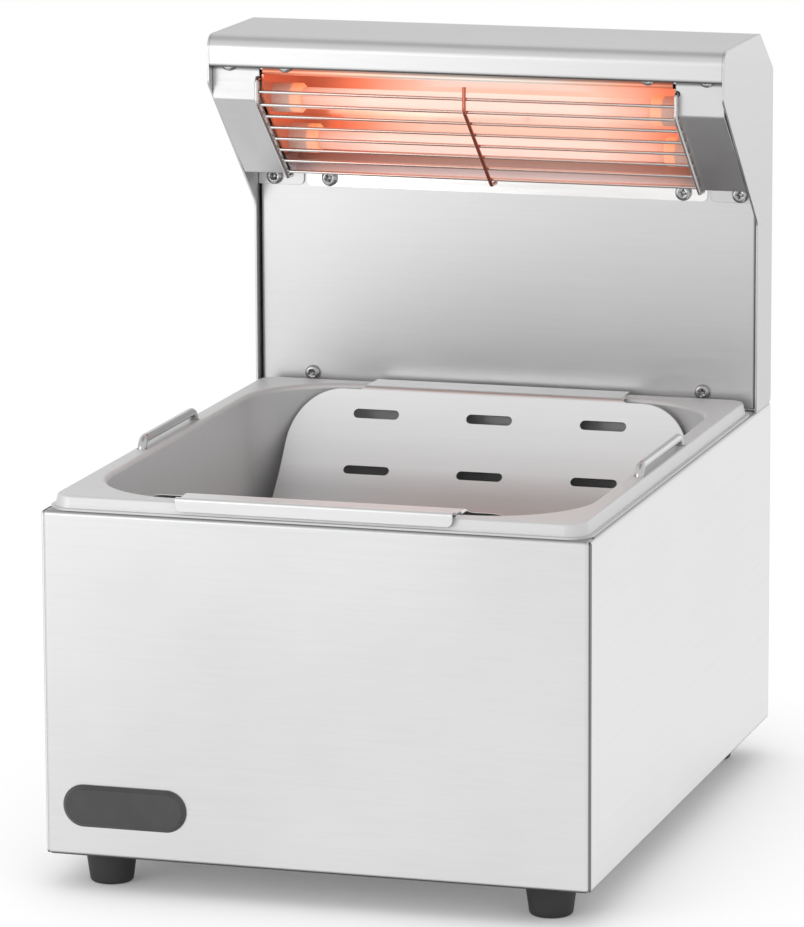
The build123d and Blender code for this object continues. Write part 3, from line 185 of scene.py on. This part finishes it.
# Moulded solids and wire sleeves: their grain is the size of the moulded texture
MOULD_TONE = (0.88, 1.12)
MOULD_ROUGH = (0.9, 1.12)
STAIN = 0.015
STAIN_TONE = (0.9, 1.1)
SLEEVE = {"roughness": 0.6, "grain": 0.0006, "depth": 0.00001}
SOLID = {
    "foot_rubber": {"color": (0.024, 0.024, 0.024), "roughness": 0.62, "grain": 0.0006, "depth": 0.00003},
    # The badge gets painted shade along its edges
    "badge_black": {"color": (0.045, 0.045, 0.046), "roughness": 0.32, "grain": 0.0004, "depth": 0.000006,
                    "edge": 0.3},
    "gland_black": {"color": (0.03, 0.03, 0.03), "roughness": 0.55, "grain": 0.0005, "depth": 0.00002},
    "switch_black": {"color": (0.02, 0.02, 0.02), "roughness": 0.28, "grain": 0.0005, "depth": 0.000006},
    "block_white": {"color": (0.78, 0.77, 0.72), "roughness": 0.5, "grain": 0.0006, "depth": 0.00001},
    "wire_brown": {"color": (0.16, 0.07, 0.035), **SLEEVE},
    "wire_blue": {"color": (0.05, 0.13, 0.4), **SLEEVE},
    "wire_green": {"color": (0.12, 0.38, 0.09), **SLEEVE},
}

# Nodes with a finish of their own instead of their slot's, mostly for painted light and shade
OWN_FINISH = {
    "front_panel": "satin_front",
    "back_panel": "satin_front",
    "side_panel_right": "satin_side",
    "side_panel_left": "satin_side_left",
    "column_front_panel": "satin_column",
    "cheek_right": "satin_cheek",
    "cheek_left": "satin_cheek",
    "fry_insert": "satin_cradle",
    "hood_top": "satin_hood",
    "end_cover_right": "satin_cover",
    "end_cover_left": "satin_cover",
    "wire_guard": "guard_wire",
}

# Guard wires: painted reflection of the glow and painted shade, colours by the share of the reach to either
# side of the middle
GUARD_ROUGHNESS = 0.16
GUARD_REACH = 0.11
GUARD_STOPS = (
    (0.0, (0.5, 0.16, 0.11)),
    (0.0105, (0.5, 0.16, 0.11)),
    (0.012, (0.74, 0.53, 0.46)),
    (0.66, (0.72, 0.52, 0.46)),
    (0.86, (0.58, 0.56, 0.55)),
)

# Tubes and coils: glow by the share of the reach to either side of the middle
HOT_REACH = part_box("reflector")[HIGH].x
HOT_STOPS = (
    (0.0, (1.0, 0.68, 0.63)),
    (0.54, (1.0, 0.66, 0.6)),
    (0.7, (0.88, 0.46, 0.39)),
    (0.8, (0.76, 0.35, 0.26)),
    (0.88, (0.45, 0.17, 0.11)),
    (1.0, (0.35, 0.1, 0.06)),
)
QUARTZ_COLOR = (0.62, 0.43, 0.35)
QUARTZ = {"Transmission Weight": 0.3, "IOR": 1.46, "Emission Strength": 0.6}
DRAWN_LENGTH = 0.03
DRAWN_WIDTH = 0.0012
DRAWN_TONE = (0.95, 1.0)
DRAWN_ROUGH = (0.05, 0.14)
ALLOY_COLOR = (0.5, 0.22, 0.12)
ALLOY = {"Metallic": 1.0, "Emission Strength": 0.8}
OXIDE = 0.002
OXIDE_TONE = (0.8, 1.1)
OXIDE_ROUGH = (0.45, 0.65)

# Tube caps: painted glow, the tube's light on them, from the end that holds the tube outwards
CERAMIC_COLOR = (0.62, 0.46, 0.39)
CERAMIC = {"Emission Strength": 0.7}
SPECKLE = 0.0008
SPECKLE_DEPTH = 0.00002
SPECKLE_TONE = (0.9, 1.05)
SPECKLE_ROUGH = (0.35, 0.5)
CAP_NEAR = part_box("ceramic_cap_upper_right")[LOW].x
CAP_STOPS = (
    (0.0, (0.95, 0.28, 0.08)),
    (0.33, (0.9, 0.25, 0.07)),
    (0.42, (0.2, 0.1, 0.07)),
    (1.0, (0.12, 0.05, 0.04)),
)

# Reflector: painted glow and painted reflection of the tubes, colours by the distance from the brightest
# place; the bay's edges count as further out
REFLECTOR = {"Emission Strength": 0.6}
RIPPLE_LENGTH = 0.05
RIPPLE_WIDTH = 0.004
RIPPLE_DEPTH = 0.00002
RIPPLE_TONE = (0.95, 1.04)
RIPPLE_ROUGH = (0.1, 0.18)
SHEET_MIDDLE = 0.006
SHEET_STOPS = (
    (0.0, (0.8, 0.84, 0.82)),
    (0.36, (0.8, 0.78, 0.72)),
    (0.47, (0.82, 0.6, 0.48)),
    (0.62, (0.86, 0.48, 0.36)),
    (0.74, (1.0, 0.32, 0.18)),
    (0.86, (0.85, 0.21, 0.11)),
    (1.0, (0.5, 0.12, 0.06)),
)
BAY_STOPS = ((0.0, (0.58, 0.44, 0.36)), (0.55, (0.54, 0.3, 0.23)), (1.0, (0.4, 0.15, 0.1)))
BAY_LOWER = from_edge("reflector", LOW, Z, 0.0199, 0.0309)
BAY_LOWER_SHIFT = 0.7
BAY_UPPER = from_edge("reflector", LOW, Z, 0.0549, 0.0619)
BAY_UPPER_SHIFT = 0.44

# Point in front of the bay that faces with painted glow are turned towards, and the turn from which they
# are fully lit
BAY_HEART = (0.0, 0.03, *from_edge("reflector", LOW, Z, 0.0439))
BAY_FACING = 0.0005

# Ledge at the bottom of the bay: duller, without glow, with colours from its foot to its top that hold
# painted shade and painted reflection of the glow
GLOW_EDGE = from_edge("reflector", LOW, Z, 0.0214, 0.0232)
LEDGE_FACE = from_edge("reflector", LOW, Z, 0.0092, 0.0098)
LEDGE_SPAN = from_edge("reflector", LOW, Z, 0.0089, 0.0223)
LEDGE_ROUGH = 3.2
LEDGE_METAL = 0.4
LEDGE_STOPS = (
    (0.0, (0.88, 0.87, 0.86)),
    (0.16, (0.88, 0.87, 0.86)),
    (0.24, (0.7, 0.74, 0.78)),
    (0.36, (0.56, 0.6, 0.64)),
    (0.5, (0.46, 0.38, 0.36)),
    (0.84, (0.4, 0.26, 0.22)),
    (0.92, (0.2, 0.08, 0.05)),
)

# Heating coils: wire and turns of the wound spirals
COILS = ("heating_coil_upper", "heating_coil_lower")
COIL_WIRE = 0.0009
COIL_TURNS = 76
COIL_STEPS = 14

# Screws: height of a head, and length and width of its cross recess, in shares of the head's diameter
HEAD_HEIGHT = 0.29
RECESS_LENGTH = 0.58
RECESS_WIDTH = 0.13

# Recess: depth in shares of the head's height, foot in shares of the mouth, and turn in radians per screw
RECESS_DEPTH = 0.62
RECESS_FOOT = 0.55
RECESS_TURN = 0.7

# Screws: distance under which vertices are one, degrees that make an edge sharp, and where the heads point
MERGE_DISTANCE = 0.000001
SHARP_ANGLE = 32
SCREW_AXES = {
    "bay_screws_lower": (0, -1, 0),
    "bay_screws_upper": (0, -1, 0),
    "column_screws": (0, -1, 0),
    "rear_cover_screws": (0, 1, 0),
    "back_panel_screws": (0, 1, 0),
    "base_screws": (0, 0, -1),
    "foot_screws": (0, 0, -1),
}

# Raised marks on the rocker: a bar on the half pressed for on, a ring on the half pressed for off
MARK_HEIGHT = 0.0002
MARK_WIDTH = 0.0007
MARK_STEPS = 32
MARK_FINISH = "block_white"
BAR_LENGTH = 0.0046
RING_RADIUS = 0.0022

# Least part of a normal that points backwards on the rocker's face
ROCKER_FACE = 0.9


class Tree:
    """Node tree of a material or of the world, with short calls that add to it."""

    def __init__(self, owner):
        owner.use_nodes = True
        self.nodes = owner.node_tree.nodes
        self.links = owner.node_tree.links

    def add(self, kind, settings=None, inputs=None):
        """New node: an input that is a socket gets a link, and any other value is set on it."""
        node = self.nodes.new("ShaderNode" + kind)
        for name, value in (settings or {}).items():
            setattr(node, name, value)
        for name, value in (inputs or {}).items():
            if isinstance(value, bpy.types.NodeSocket):
                self.links.new(value, node.inputs[name])
            else:
                node.inputs[name].default_value = value
        return node

    def number(self, operation, *values):
        """Result of an operation on numbers."""
        return self.add("Math", {"operation": operation}, dict(enumerate(values))).outputs[0]

    def vector(self, operation, *values):
        """Outputs of an operation on vectors."""
        return self.add("VectorMath", {"operation": operation}, dict(enumerate(values))).outputs

    def spread(self, value, low, high, start=NOISE_LOW, end=NOISE_HIGH):
        """Low where the value is at the start or before it, high where it is at the end or beyond."""
        inputs = {"Value": value, "From Min": start, "From Max": end, "To Min": low, "To Max": high}
        return self.add("MapRange", inputs=inputs).outputs[0]


class Look(Tree):
    """One Principled material, with short calls for what shapes it."""

    def __init__(self, name, values):
        self.material = bpy.data.materials.new(name)
        super().__init__(self.material)
        self.shader = self.nodes["Principled BSDF"]
        for socket, value in values.items():
            self.shader.inputs[socket].default_value = value
        self.place = self.add("TexCoord").outputs["Object"]

    def drive(self, socket, source):
        """Link from a source to one of the shader's sockets."""
        self.links.new(source, self.shader.inputs[socket])

    def coordinate(self, axis):
        """Place on one axis of the part's frame."""
        return self.add("SeparateXYZ", inputs={0: self.place}).outputs[axis]

    def noise(self, sizes, detail=SOFT):
        """Noise whose features have these sizes along X, Y and Z."""
        scale = [1 / size for size in sizes]
        mapping = self.add("Mapping", inputs={"Vector": self.place, "Scale": scale})
        inputs = {"Vector": mapping.outputs[0], "Scale": 1.0, "Detail": detail}
        return self.add("TexNoise", inputs=inputs).outputs[0]

    def roughened(self, value, roughness, shares):
        """Roughness that noise moves between two shares of it."""
        return self.spread(value, *[roughness * share for share in shares])

    def times(self, *factors):
        """Product of all the factors."""
        result = factors[0]
        for factor in factors[1:]:
            result = self.number("MULTIPLY", result, factor)
        return result

    def tinted(self, color, amount):
        """Colour made brighter or darker by an amount."""
        return self.add("VectorMath", {"operation": "SCALE"}, {0: color, "Scale": amount}).outputs[0]

    def ramp(self, value, stops):
        """Colour by a value from 0 to 1; each stop is a position and the colour there."""
        node = self.add("ValToRGB", inputs={0: value})
        elements = node.color_ramp.elements
        while len(elements) < len(stops):
            elements.new(0.5)
        for element, (position, color) in zip(elements, stops):
            element.position = position
            element.color = (*color, 1.0)
        return node.outputs[0]

    def bump(self, height, depth):
        """Relief of this depth on the surface."""
        self.drive("Normal", self.add("Bump", inputs={"Height": height, "Distance": depth}).outputs[0])

    def shaded_edges(self, share):
        """Painted shade: this share of the tone along sharp edges, 1 on flat faces."""
        rounded = self.add("Bevel", {"samples": EDGE_SAMPLES}, {"Radius": EDGE_RADIUS}).outputs[0]
        straight = self.add("NewGeometry").outputs["Normal"]
        alike = self.vector("DOT_PRODUCT", rounded, straight)["Value"]
        return self.spread(alike, 1.0, share, EDGE_START, EDGE_FULL)

    def along(self, axis, tone, full, end):
        """This tone up to the place on an axis where it is full, fading to 1 where it ends."""
        return self.spread(self.coordinate(axis), tone, 1.0, full, end)

    def from_middle(self, near, far, middle=0.0):
        """0 at the near and 1 at the far distance to either side of a middle on the X axis."""
        offset = self.number("SUBTRACT", self.coordinate(X), middle)
        return self.spread(self.number("ABSOLUTE", offset), 0.0, 1.0, near, far)

    def facing(self, point, full):
        """0 on faces turned away from a point, rising to 1 on those turned towards it."""
        towards = self.vector("SUBTRACT", point, self.place)["Vector"]
        normal = self.add("NewGeometry").outputs["True Normal"]
        turned = self.vector("DOT_PRODUCT", towards, normal)["Value"]
        return self.spread(turned, 0.0, 1.0, 0.0, full)


# Materials

def brushed_steel(name, tone, grain, edge, roughness=SATIN_ROUGHNESS, metallic=1.0, grazing=1.0,
                  shades=(), shade_end=None):
    """Satin sheet: fine lines along the grain, streaks, faint clouds, painted shade on edges and in dark
    bands.
    """
    tint = (grazing, grazing, grazing, 1.0)
    look = Look(name, {"Metallic": metallic, "Anisotropic": SATIN_ANISOTROPY, "Specular Tint": tint})
    fine = [GRAIN_WIDTH] * 3
    fine[grain] = GRAIN_LENGTH
    wide = [STREAK_WIDTH] * 3
    wide[grain] = STREAK_LENGTH
    lines = look.noise(fine, FINE)
    streaks = look.noise(wide)
    clouds = look.noise([CLOUD] * 3, FINE)
    amount = look.times(
        look.spread(lines, *GRAIN_TONE),
        look.spread(streaks, *STREAK_TONE),
        look.spread(clouds, *CLOUD_TONE),
        look.shaded_edges(edge),
    )
    # Painted shade: dark bands in folds, in gaps and along edges
    for band in shades:
        painted_shade = look.along(*band)
        if shade_end:
            painted_shade = look.number("MAXIMUM", painted_shade, look.along(*shade_end))
        amount = look.times(amount, painted_shade)
    look.drive("Base Color", look.tinted((tone, tone, tone * SATIN_BLUE), amount))
    rough = look.roughened(lines, roughness, GRAIN_ROUGH)
    look.drive("Roughness", look.times(rough, look.spread(clouds, *CLOUD_ROUGH)))
    look.bump(lines, GRAIN_DEPTH)
    return look.material


def scuffed(look, roughness):
    """Fine scuffs in a metal's roughness and face; the result is their share of its tone."""
    scuffs = look.noise([SCUFF] * 3, CRISP)
    look.drive("Roughness", look.roughened(scuffs, roughness, SCUFF_ROUGH))
    look.bump(scuffs, SCUFF_DEPTH)
    return look.spread(scuffs, *SCUFF_TONE)


def bright_metal(name, color, roughness):
    """Drawn wire and plated screws: smooth, with fine scuffs and a faint tarnish."""
    look = Look(name, {"Metallic": 1.0})
    tarnish = look.spread(look.noise([TARNISH] * 3), *TARNISH_TONE)
    look.drive("Base Color", look.tinted(color, look.times(scuffed(look, roughness), tarnish)))
    return look.material


def wire_with_painted_reflection(name):
    """Guard wires with painted reflection of the glow and painted shade: bright at the ends, pink in front
    of the tubes, dark red in the middle.
    """
    look = Look(name, {"Metallic": 1.0})
    reflected_glow = look.ramp(look.from_middle(0.0, GUARD_REACH), GUARD_STOPS)
    look.drive("Base Color", look.tinted(reflected_glow, scuffed(look, GUARD_ROUGHNESS)))
    return look.material


def plain_solid(name, color, roughness, grain, depth, edge=1.0):
    """Rubber, plastic or sleeve: a fine moulded grain, slight shifts of tone, and painted shade on edges.
    """
    look = Look(name, {})
    texture = look.noise([grain] * 3, FINE)
    stains = look.noise([STAIN] * 3)
    amount = look.times(
        look.spread(texture, *MOULD_TONE),
        look.spread(stains, *STAIN_TONE),
        look.shaded_edges(edge),
    )
    look.drive("Base Color", look.tinted(color, amount))
    look.drive("Roughness", look.roughened(texture, roughness, MOULD_ROUGH))
    look.bump(texture, depth)
    return look.material


def reflector_with_painted_glow(name):
    """Polished sheet with painted glow and painted reflection of the tubes: pale in the middle, orange at
    the ends.
    """
    look = Look(name, REFLECTOR)
    ripple = look.noise([RIPPLE_LENGTH, RIPPLE_WIDTH, RIPPLE_WIDTH], FINE)
    height = look.coordinate(Z)
    inside = look.spread(height, 0.0, 1.0, *GLOW_EDGE)
    ledge = look.times(look.along(Z, 0.0, *LEDGE_FACE), look.number("SUBTRACT", 1.0, inside))
    # Painted shadow in the gap under the hood's lip
    shadow = look.along(*GAP_SHADE)
    outward = look.from_middle(0.0, HOT_REACH, SHEET_MIDDLE)
    for edge, shift in ((BAY_LOWER, BAY_LOWER_SHIFT), (BAY_UPPER, BAY_UPPER_SHIFT)):
        outward = look.number("MAXIMUM", outward, look.spread(height, shift, 0.0, *edge))
    # Painted shade and painted reflection of the glow on the ledge, and warmer painted reflection towards
    # the ends
    cool = look.ramp(look.spread(height, 0.0, 1.0, *LEDGE_SPAN), LEDGE_STOPS)
    warm = look.ramp(outward, BAY_STOPS)
    sheet = look.add("MixRGB", inputs={0: inside, 1: cool, 2: warm}).outputs[0]
    look.drive("Base Color", look.tinted(sheet, look.times(look.spread(ripple, *RIPPLE_TONE), shadow)))
    dull = look.spread(ledge, 1.0, LEDGE_ROUGH, 0.0, 1.0)
    look.drive("Roughness", look.times(look.spread(ripple, *RIPPLE_ROUGH), dull))
    look.drive("Metallic", look.spread(ledge, 1.0, LEDGE_METAL, 0.0, 1.0))
    # Painted glow: the tubes' light on the sheet, only inside the bay and on faces turned towards it
    painted_glow = look.times(inside, shadow, look.facing(BAY_HEART, BAY_FACING))
    look.drive("Emission Color", look.tinted(look.ramp(outward, SHEET_STOPS), painted_glow))
    look.bump(ripple, RIPPLE_DEPTH)
    return look.material


def glowing_quartz(name):
    """Quartz tube filled with the light of its coil, cooler towards the caps."""
    look = Look(name, QUARTZ)
    streaks = look.noise([DRAWN_LENGTH, DRAWN_WIDTH, DRAWN_WIDTH])
    look.drive("Base Color", look.tinted(QUARTZ_COLOR, look.spread(streaks, *DRAWN_TONE)))
    look.drive("Roughness", look.spread(streaks, *DRAWN_ROUGH))
    look.drive("Emission Color", look.ramp(look.from_middle(0.0, HOT_REACH), HOT_STOPS))
    return look.material


def glowing_coil(name):
    """Oxidised resistance wire, glowing like its tube."""
    look = Look(name, ALLOY)
    oxide = look.noise([OXIDE] * 3, FINE)
    look.drive("Base Color", look.tinted(ALLOY_COLOR, look.spread(oxide, *OXIDE_TONE)))
    look.drive("Roughness", look.spread(oxide, *OXIDE_ROUGH))
    look.drive("Emission Color", look.ramp(look.from_middle(0.0, HOT_REACH), HOT_STOPS))
    return look.material


def ceramic_with_painted_glow(name):
    """Glazed tube caps, with painted glow from the tube at the end that holds the tube."""
    look = Look(name, CERAMIC)
    speckle = look.noise([SPECKLE] * 3, CRISP)
    look.drive("Base Color", look.tinted(CERAMIC_COLOR, look.spread(speckle, *SPECKLE_TONE)))
    look.drive("Roughness", look.spread(speckle, *SPECKLE_ROUGH))
    look.drive("Emission Color", look.ramp(look.from_middle(CAP_NEAR, HOT_REACH), CAP_STOPS))
    look.bump(speckle, SPECKLE_DEPTH)
    return look.material


looks = {
    "reflector_sheet": reflector_with_painted_glow("reflector_sheet"),
    "quartz": glowing_quartz("quartz"),
    "heating_alloy": glowing_coil("heating_alloy"),
    "ceramic": ceramic_with_painted_glow("ceramic"),
    "guard_wire": wire_with_painted_reflection("guard_wire"),
}
for make, finishes in ((brushed_steel, STEEL), (bright_metal, METAL), (plain_solid, SOLID)):
    for name, finish in finishes.items():
        looks[name] = make(name, **finish)
for name, node in nodes.items():
    node.material_slots[0].material = looks[OWN_FINISH.get(name, slot_of[name])]


# Pieces that refine a node

def add_object(name, data):
    """New object in the scene."""
    made = bpy.data.objects.new(name, data)
    bpy.context.scene.collection.objects.link(made)
    return made


def mesh_object(name, shape):
    """New object with a finished bmesh as its mesh."""
    mesh = bpy.data.meshes.new(name)
    shape.to_mesh(mesh)
    shape.free()
    return add_object(name, mesh)


def stand_for(piece, node):
    """The piece is shown instead of a node, on the node's body and in its finish."""
    piece.data.materials.clear()
    piece.data.materials.append(looks[slot_of[node]])
    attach(piece, body_of[node])
    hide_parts(node)


def wound_coil(node):
    """Resistance wire wound to the size of the coil's plain solid."""
    low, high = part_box(node)
    middle = (low + high) / 2
    radius = (high.z - low.z - COIL_WIRE) / 2
    reach = high.x - low.x - COIL_WIRE
    curve = bpy.data.curves.new(node + "_wound", "CURVE")
    curve.dimensions = "3D"
    curve.bevel_depth = COIL_WIRE / 2
    curve.bevel_resolution = 1
    curve.use_fill_caps = True
    spline = curve.splines.new("POLY")
    count = COIL_TURNS * COIL_STEPS
    spline.points.add(count)
    for step, point in enumerate(spline.points):
        angle = 2 * math.pi * step / COIL_STEPS
        x = middle.x + reach * (step / count - 0.5)
        point.co = (x, middle.y + radius * math.cos(angle), middle.z + radius * math.sin(angle), 1.0)
    stand_for(add_object(node + "_wound", curve), node)


def islands(mesh):
    """Groups of vertices that hang together, in the order of each group's first vertex."""
    done = set()
    groups = []
    for first in mesh.verts:
        if first in done:
            continue
        done.add(first)
        queue = [first]
        group = []
        while queue:
            vertex = queue.pop()
            group.append(vertex)
            for edge in vertex.link_edges:
                other = edge.other_vert(vertex)
                if other not in done:
                    done.add(other)
                    queue.append(other)
        groups.append(group)
    return groups


def add_cross(mesh, center, axis, turn, diameter, depth):
    """Tapered cross that reaches from just above a screw's head down into it."""
    side = axis.orthogonal().normalized()
    side.rotate(Matrix.Rotation(turn, 3, axis))
    other = axis.cross(side)
    arm = RECESS_LENGTH * diameter / 2
    half = RECESS_WIDTH * diameter / 2
    corner = [(half, half), (half, arm), (-half, arm)]
    outline = []
    for _ in range(4):
        outline += corner
        corner = [(-b, a) for a, b in corner]
    rings = []
    for share, lift in ((1.0, depth / 2), (RECESS_FOOT, -depth)):
        points = [center + axis * lift + side * (a * share) + other * (b * share) for a, b in outline]
        rings.append([mesh.verts.new(point) for point in points])
    mesh.faces.new(rings[0])
    mesh.faces.new(reversed(rings[1]))
    for index in range(len(outline)):
        after = (index + 1) % len(outline)
        mesh.faces.new((rings[0][index], rings[1][index], rings[1][after], rings[0][after]))


def recessed_screws(node, axis):
    """Copy of a node's screws with a cross recess in each head."""
    axis = Vector(axis)
    screws = bmesh.new()
    screws.from_mesh(nodes[node].data)
    bmesh.ops.remove_doubles(screws, verts=screws.verts, dist=MERGE_DISTANCE)
    crosses = bmesh.new()
    for index, group in enumerate(islands(screws)):
        top = max(vertex.co.dot(axis) for vertex in group)
        flat = [vertex.co - axis * vertex.co.dot(axis) for vertex in group]
        middle = sum(flat, Vector()) / len(flat)
        diameter = 2 * max((point - middle).length for point in flat)
        depth = RECESS_DEPTH * HEAD_HEIGHT * diameter
        add_cross(crosses, middle + axis * top, axis, index * RECESS_TURN, diameter, depth)
    bmesh.ops.recalc_face_normals(crosses, faces=crosses.faces)
    piece = mesh_object(node + "_recessed", screws)
    cutter = mesh_object(node + "_crosses", crosses)
    cut = piece.modifiers.new("recess", "BOOLEAN")
    cut.operation = "DIFFERENCE"
    cut.solver = "EXACT"
    cut.object = cutter
    shaped = piece.evaluated_get(bpy.context.evaluated_depsgraph_get())
    piece.data = bpy.data.meshes.new_from_object(shaped)
    piece.modifiers.clear()
    bpy.data.objects.remove(cutter)
    piece.data.shade_smooth()
    piece.data.set_sharp_from_angle(angle=math.radians(SHARP_ANGLE))
    stand_for(piece, node)


def raised_mark(mesh, place, across, up, outline, hollow=None):
    """Solid that stands out of a face: its outline is drawn across and up, and so is a hollow in it."""
    out = across.cross(up)
    paths = [(outline, -MARK_HEIGHT), (outline, MARK_HEIGHT)]
    if hollow:
        paths += [(hollow, MARK_HEIGHT), (hollow, -MARK_HEIGHT)]
    rings = []
    for path, lift in paths:
        rings.append([mesh.verts.new(place + across * a + up * b + out * lift) for a, b in path])
    if hollow:
        rings.append(rings[0])
    else:
        mesh.faces.new(rings[0])
        mesh.faces.new(rings[1])
    for first, second in zip(rings, rings[1:]):
        for index in range(len(first)):
            after = (index + 1) % len(first)
            mesh.faces.new((first[index], first[after], second[after], second[index]))


def rounded_path(radius, straight):
    """Circle, pulled apart by a straight length upwards."""
    path = []
    for step in range(MARK_STEPS):
        angle = 2 * math.pi * (step + 0.5) / MARK_STEPS
        rise = math.copysign(straight / 2, math.sin(angle))
        path.append((radius * math.cos(angle), radius * math.sin(angle) + rise))
    return path


def rocker_marks():
    """Bar on the lower and ring on the upper half of the rocker's face."""
    node = "switch_rocker"
    low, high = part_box(node)
    middle = (low.z + high.z) / 2
    across = Vector((-1.0, 0.0, 0.0))
    bar = (rounded_path(MARK_WIDTH / 2, BAR_LENGTH - MARK_WIDTH),)
    ring = (rounded_path(RING_RADIUS, 0.0), rounded_path(RING_RADIUS - MARK_WIDTH, 0.0))
    marks = bmesh.new()
    for half, paths in ((-1, bar), (1, ring)):
        faces = [face for face in nodes[node].data.polygons
                 if face.normal.y > ROCKER_FACE and half * (face.center.z - middle) > 0]
        area = sum(face.area for face in faces)
        place = sum((face.center * face.area for face in faces), Vector()) / area
        out = sum((face.normal * face.area for face in faces), Vector()).normalized()
        raised_mark(marks, place, across, out.cross(across), *paths)
    bmesh.ops.recalc_face_normals(marks, faces=marks.faces)
    piece = mesh_object("rocker_marks", marks)
    piece.data.materials.append(looks[MARK_FINISH])
    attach(piece, body_of[node])


for coil in COILS:
    wound_coil(coil)
for screws_node, screws_axis in SCREW_AXES.items():
    recessed_screws(screws_node, screws_axis)
rocker_marks()


# Studio

def seen(tree):
    """1 for rays that show a surface, straight or in metal and glass; 0 for rays that only light it."""
    path = tree.add("LightPath").outputs
    result = path["Is Camera Ray"]
    for kind in ("Is Glossy Ray", "Is Transmission Ray"):
        result = tree.number("MAXIMUM", result, path[kind])
    return result


def build_world():
    """Even light from all round, and white surroundings to look at."""
    world = bpy.data.worlds.new("studio")
    tree = Tree(world)
    tree.nodes.clear()
    direction = tree.add("TexCoord").outputs["Generated"]
    upwards = tree.add("SeparateXYZ", inputs={0: direction}).outputs["Z"]
    ceiling = tree.spread(upwards, 1.0, CEILING, CEILING_START, CEILING_FULL)
    light = tree.add("Background", inputs={"Color": WHITE, "Strength": AMBIENT}).outputs[0]
    white = tree.add("Background", inputs={"Color": WHITE, "Strength": ceiling}).outputs[0]
    mix = tree.add("MixShader", inputs={0: seen(tree), 1: light, 2: white}).outputs[0]
    tree.add("OutputWorld", inputs={"Surface": mix})
    bpy.context.scene.world = world


def clear_of_part(tree):
    """0 under the part, rising to 1 on the floor well away from it."""
    low, high = [Vector((corner[X], corner[Y], 0.0)) for corner in cad_box]
    place = tree.add("TexCoord").outputs["Object"]
    offset = tree.vector("SUBTRACT", place, (low + high) / 2)["Vector"]
    aside = tree.vector("ABSOLUTE", offset)["Vector"]
    beyond = tree.vector("SUBTRACT", aside, (high - low) / 2)["Vector"]
    distance = tree.vector("LENGTH", tree.vector("MAXIMUM", beyond, Vector())["Vector"])["Value"]
    inputs = {"Value": distance, "From Min": SHADOW_START, "From Max": SHADOW_REACH}
    return tree.add("MapRange", {"interpolation_type": "SMOOTHSTEP"}, inputs).outputs[0]


def build_floor():
    """Pale floor that is seen as white away from the part."""
    mesh = bpy.data.meshes.new("floor")
    corners = [(-1, -1), (1, -1), (1, 1), (-1, 1)]
    mesh.from_pydata([(x * FLOOR_HALF, y * FLOOR_HALF, 0.0) for x, y in corners], [], [(0, 1, 2, 3)])
    floor = add_object("floor", mesh)
    material = bpy.data.materials.new("floor")
    tree = Tree(material)
    tree.nodes.clear()
    paper = tree.add("BsdfDiffuse", inputs={"Color": FLOOR_COLOR}).outputs[0]
    white = tree.add("Emission", inputs={"Color": WHITE}).outputs[0]
    share = tree.number("MULTIPLY", seen(tree), clear_of_part(tree))
    mix = tree.add("MixShader", inputs={0: share, 1: paper, 2: white}).outputs[0]
    tree.add("OutputMaterial", inputs={"Surface": mix})
    mesh.materials.append(material)


def build_softboxes():
    """Square lights, aimed at the part and not seen by the camera."""
    for name, box in SOFTBOXES.items():
        lamp = bpy.data.lights.new(name, "AREA")
        lamp.shape = "SQUARE"
        lamp.size = box["size"]
        lamp.energy = box["watts"]
        holder = add_object(name, lamp)
        holder.location = box["place"]
        holder.visible_camera = False
        holder.rotation_euler = (SOFTBOX_AIM - holder.location).to_track_quat("-Z", "Y").to_euler()


def build_camera():
    """Camera at its angles and distance from its target, rolled about its own axis."""
    azimuth = math.radians(CAMERA_AZIMUTH)
    elevation = math.radians(CAMERA_ELEVATION)
    out = Vector((
        math.cos(elevation) * math.sin(azimuth),
        -math.cos(elevation) * math.cos(azimuth),
        math.sin(elevation),
    ))
    data = bpy.data.cameras.new("camera")
    data.sensor_width = CAMERA_SENSOR
    data.lens = CAMERA_LENS
    camera = add_object("camera", data)
    upright = (-out).to_track_quat("-Z", "Y").to_matrix()
    rolled = upright @ Matrix.Rotation(math.radians(CAMERA_ROLL), 3, "Z")
    camera.matrix_world = Matrix.Translation(CAMERA_TARGET + out * CAMERA_DISTANCE) @ rolled.to_4x4()
    bpy.context.scene.camera = camera


build_world()
build_floor()
build_softboxes()
build_camera()
bpy.context.scene.view_settings.view_transform = "Standard"
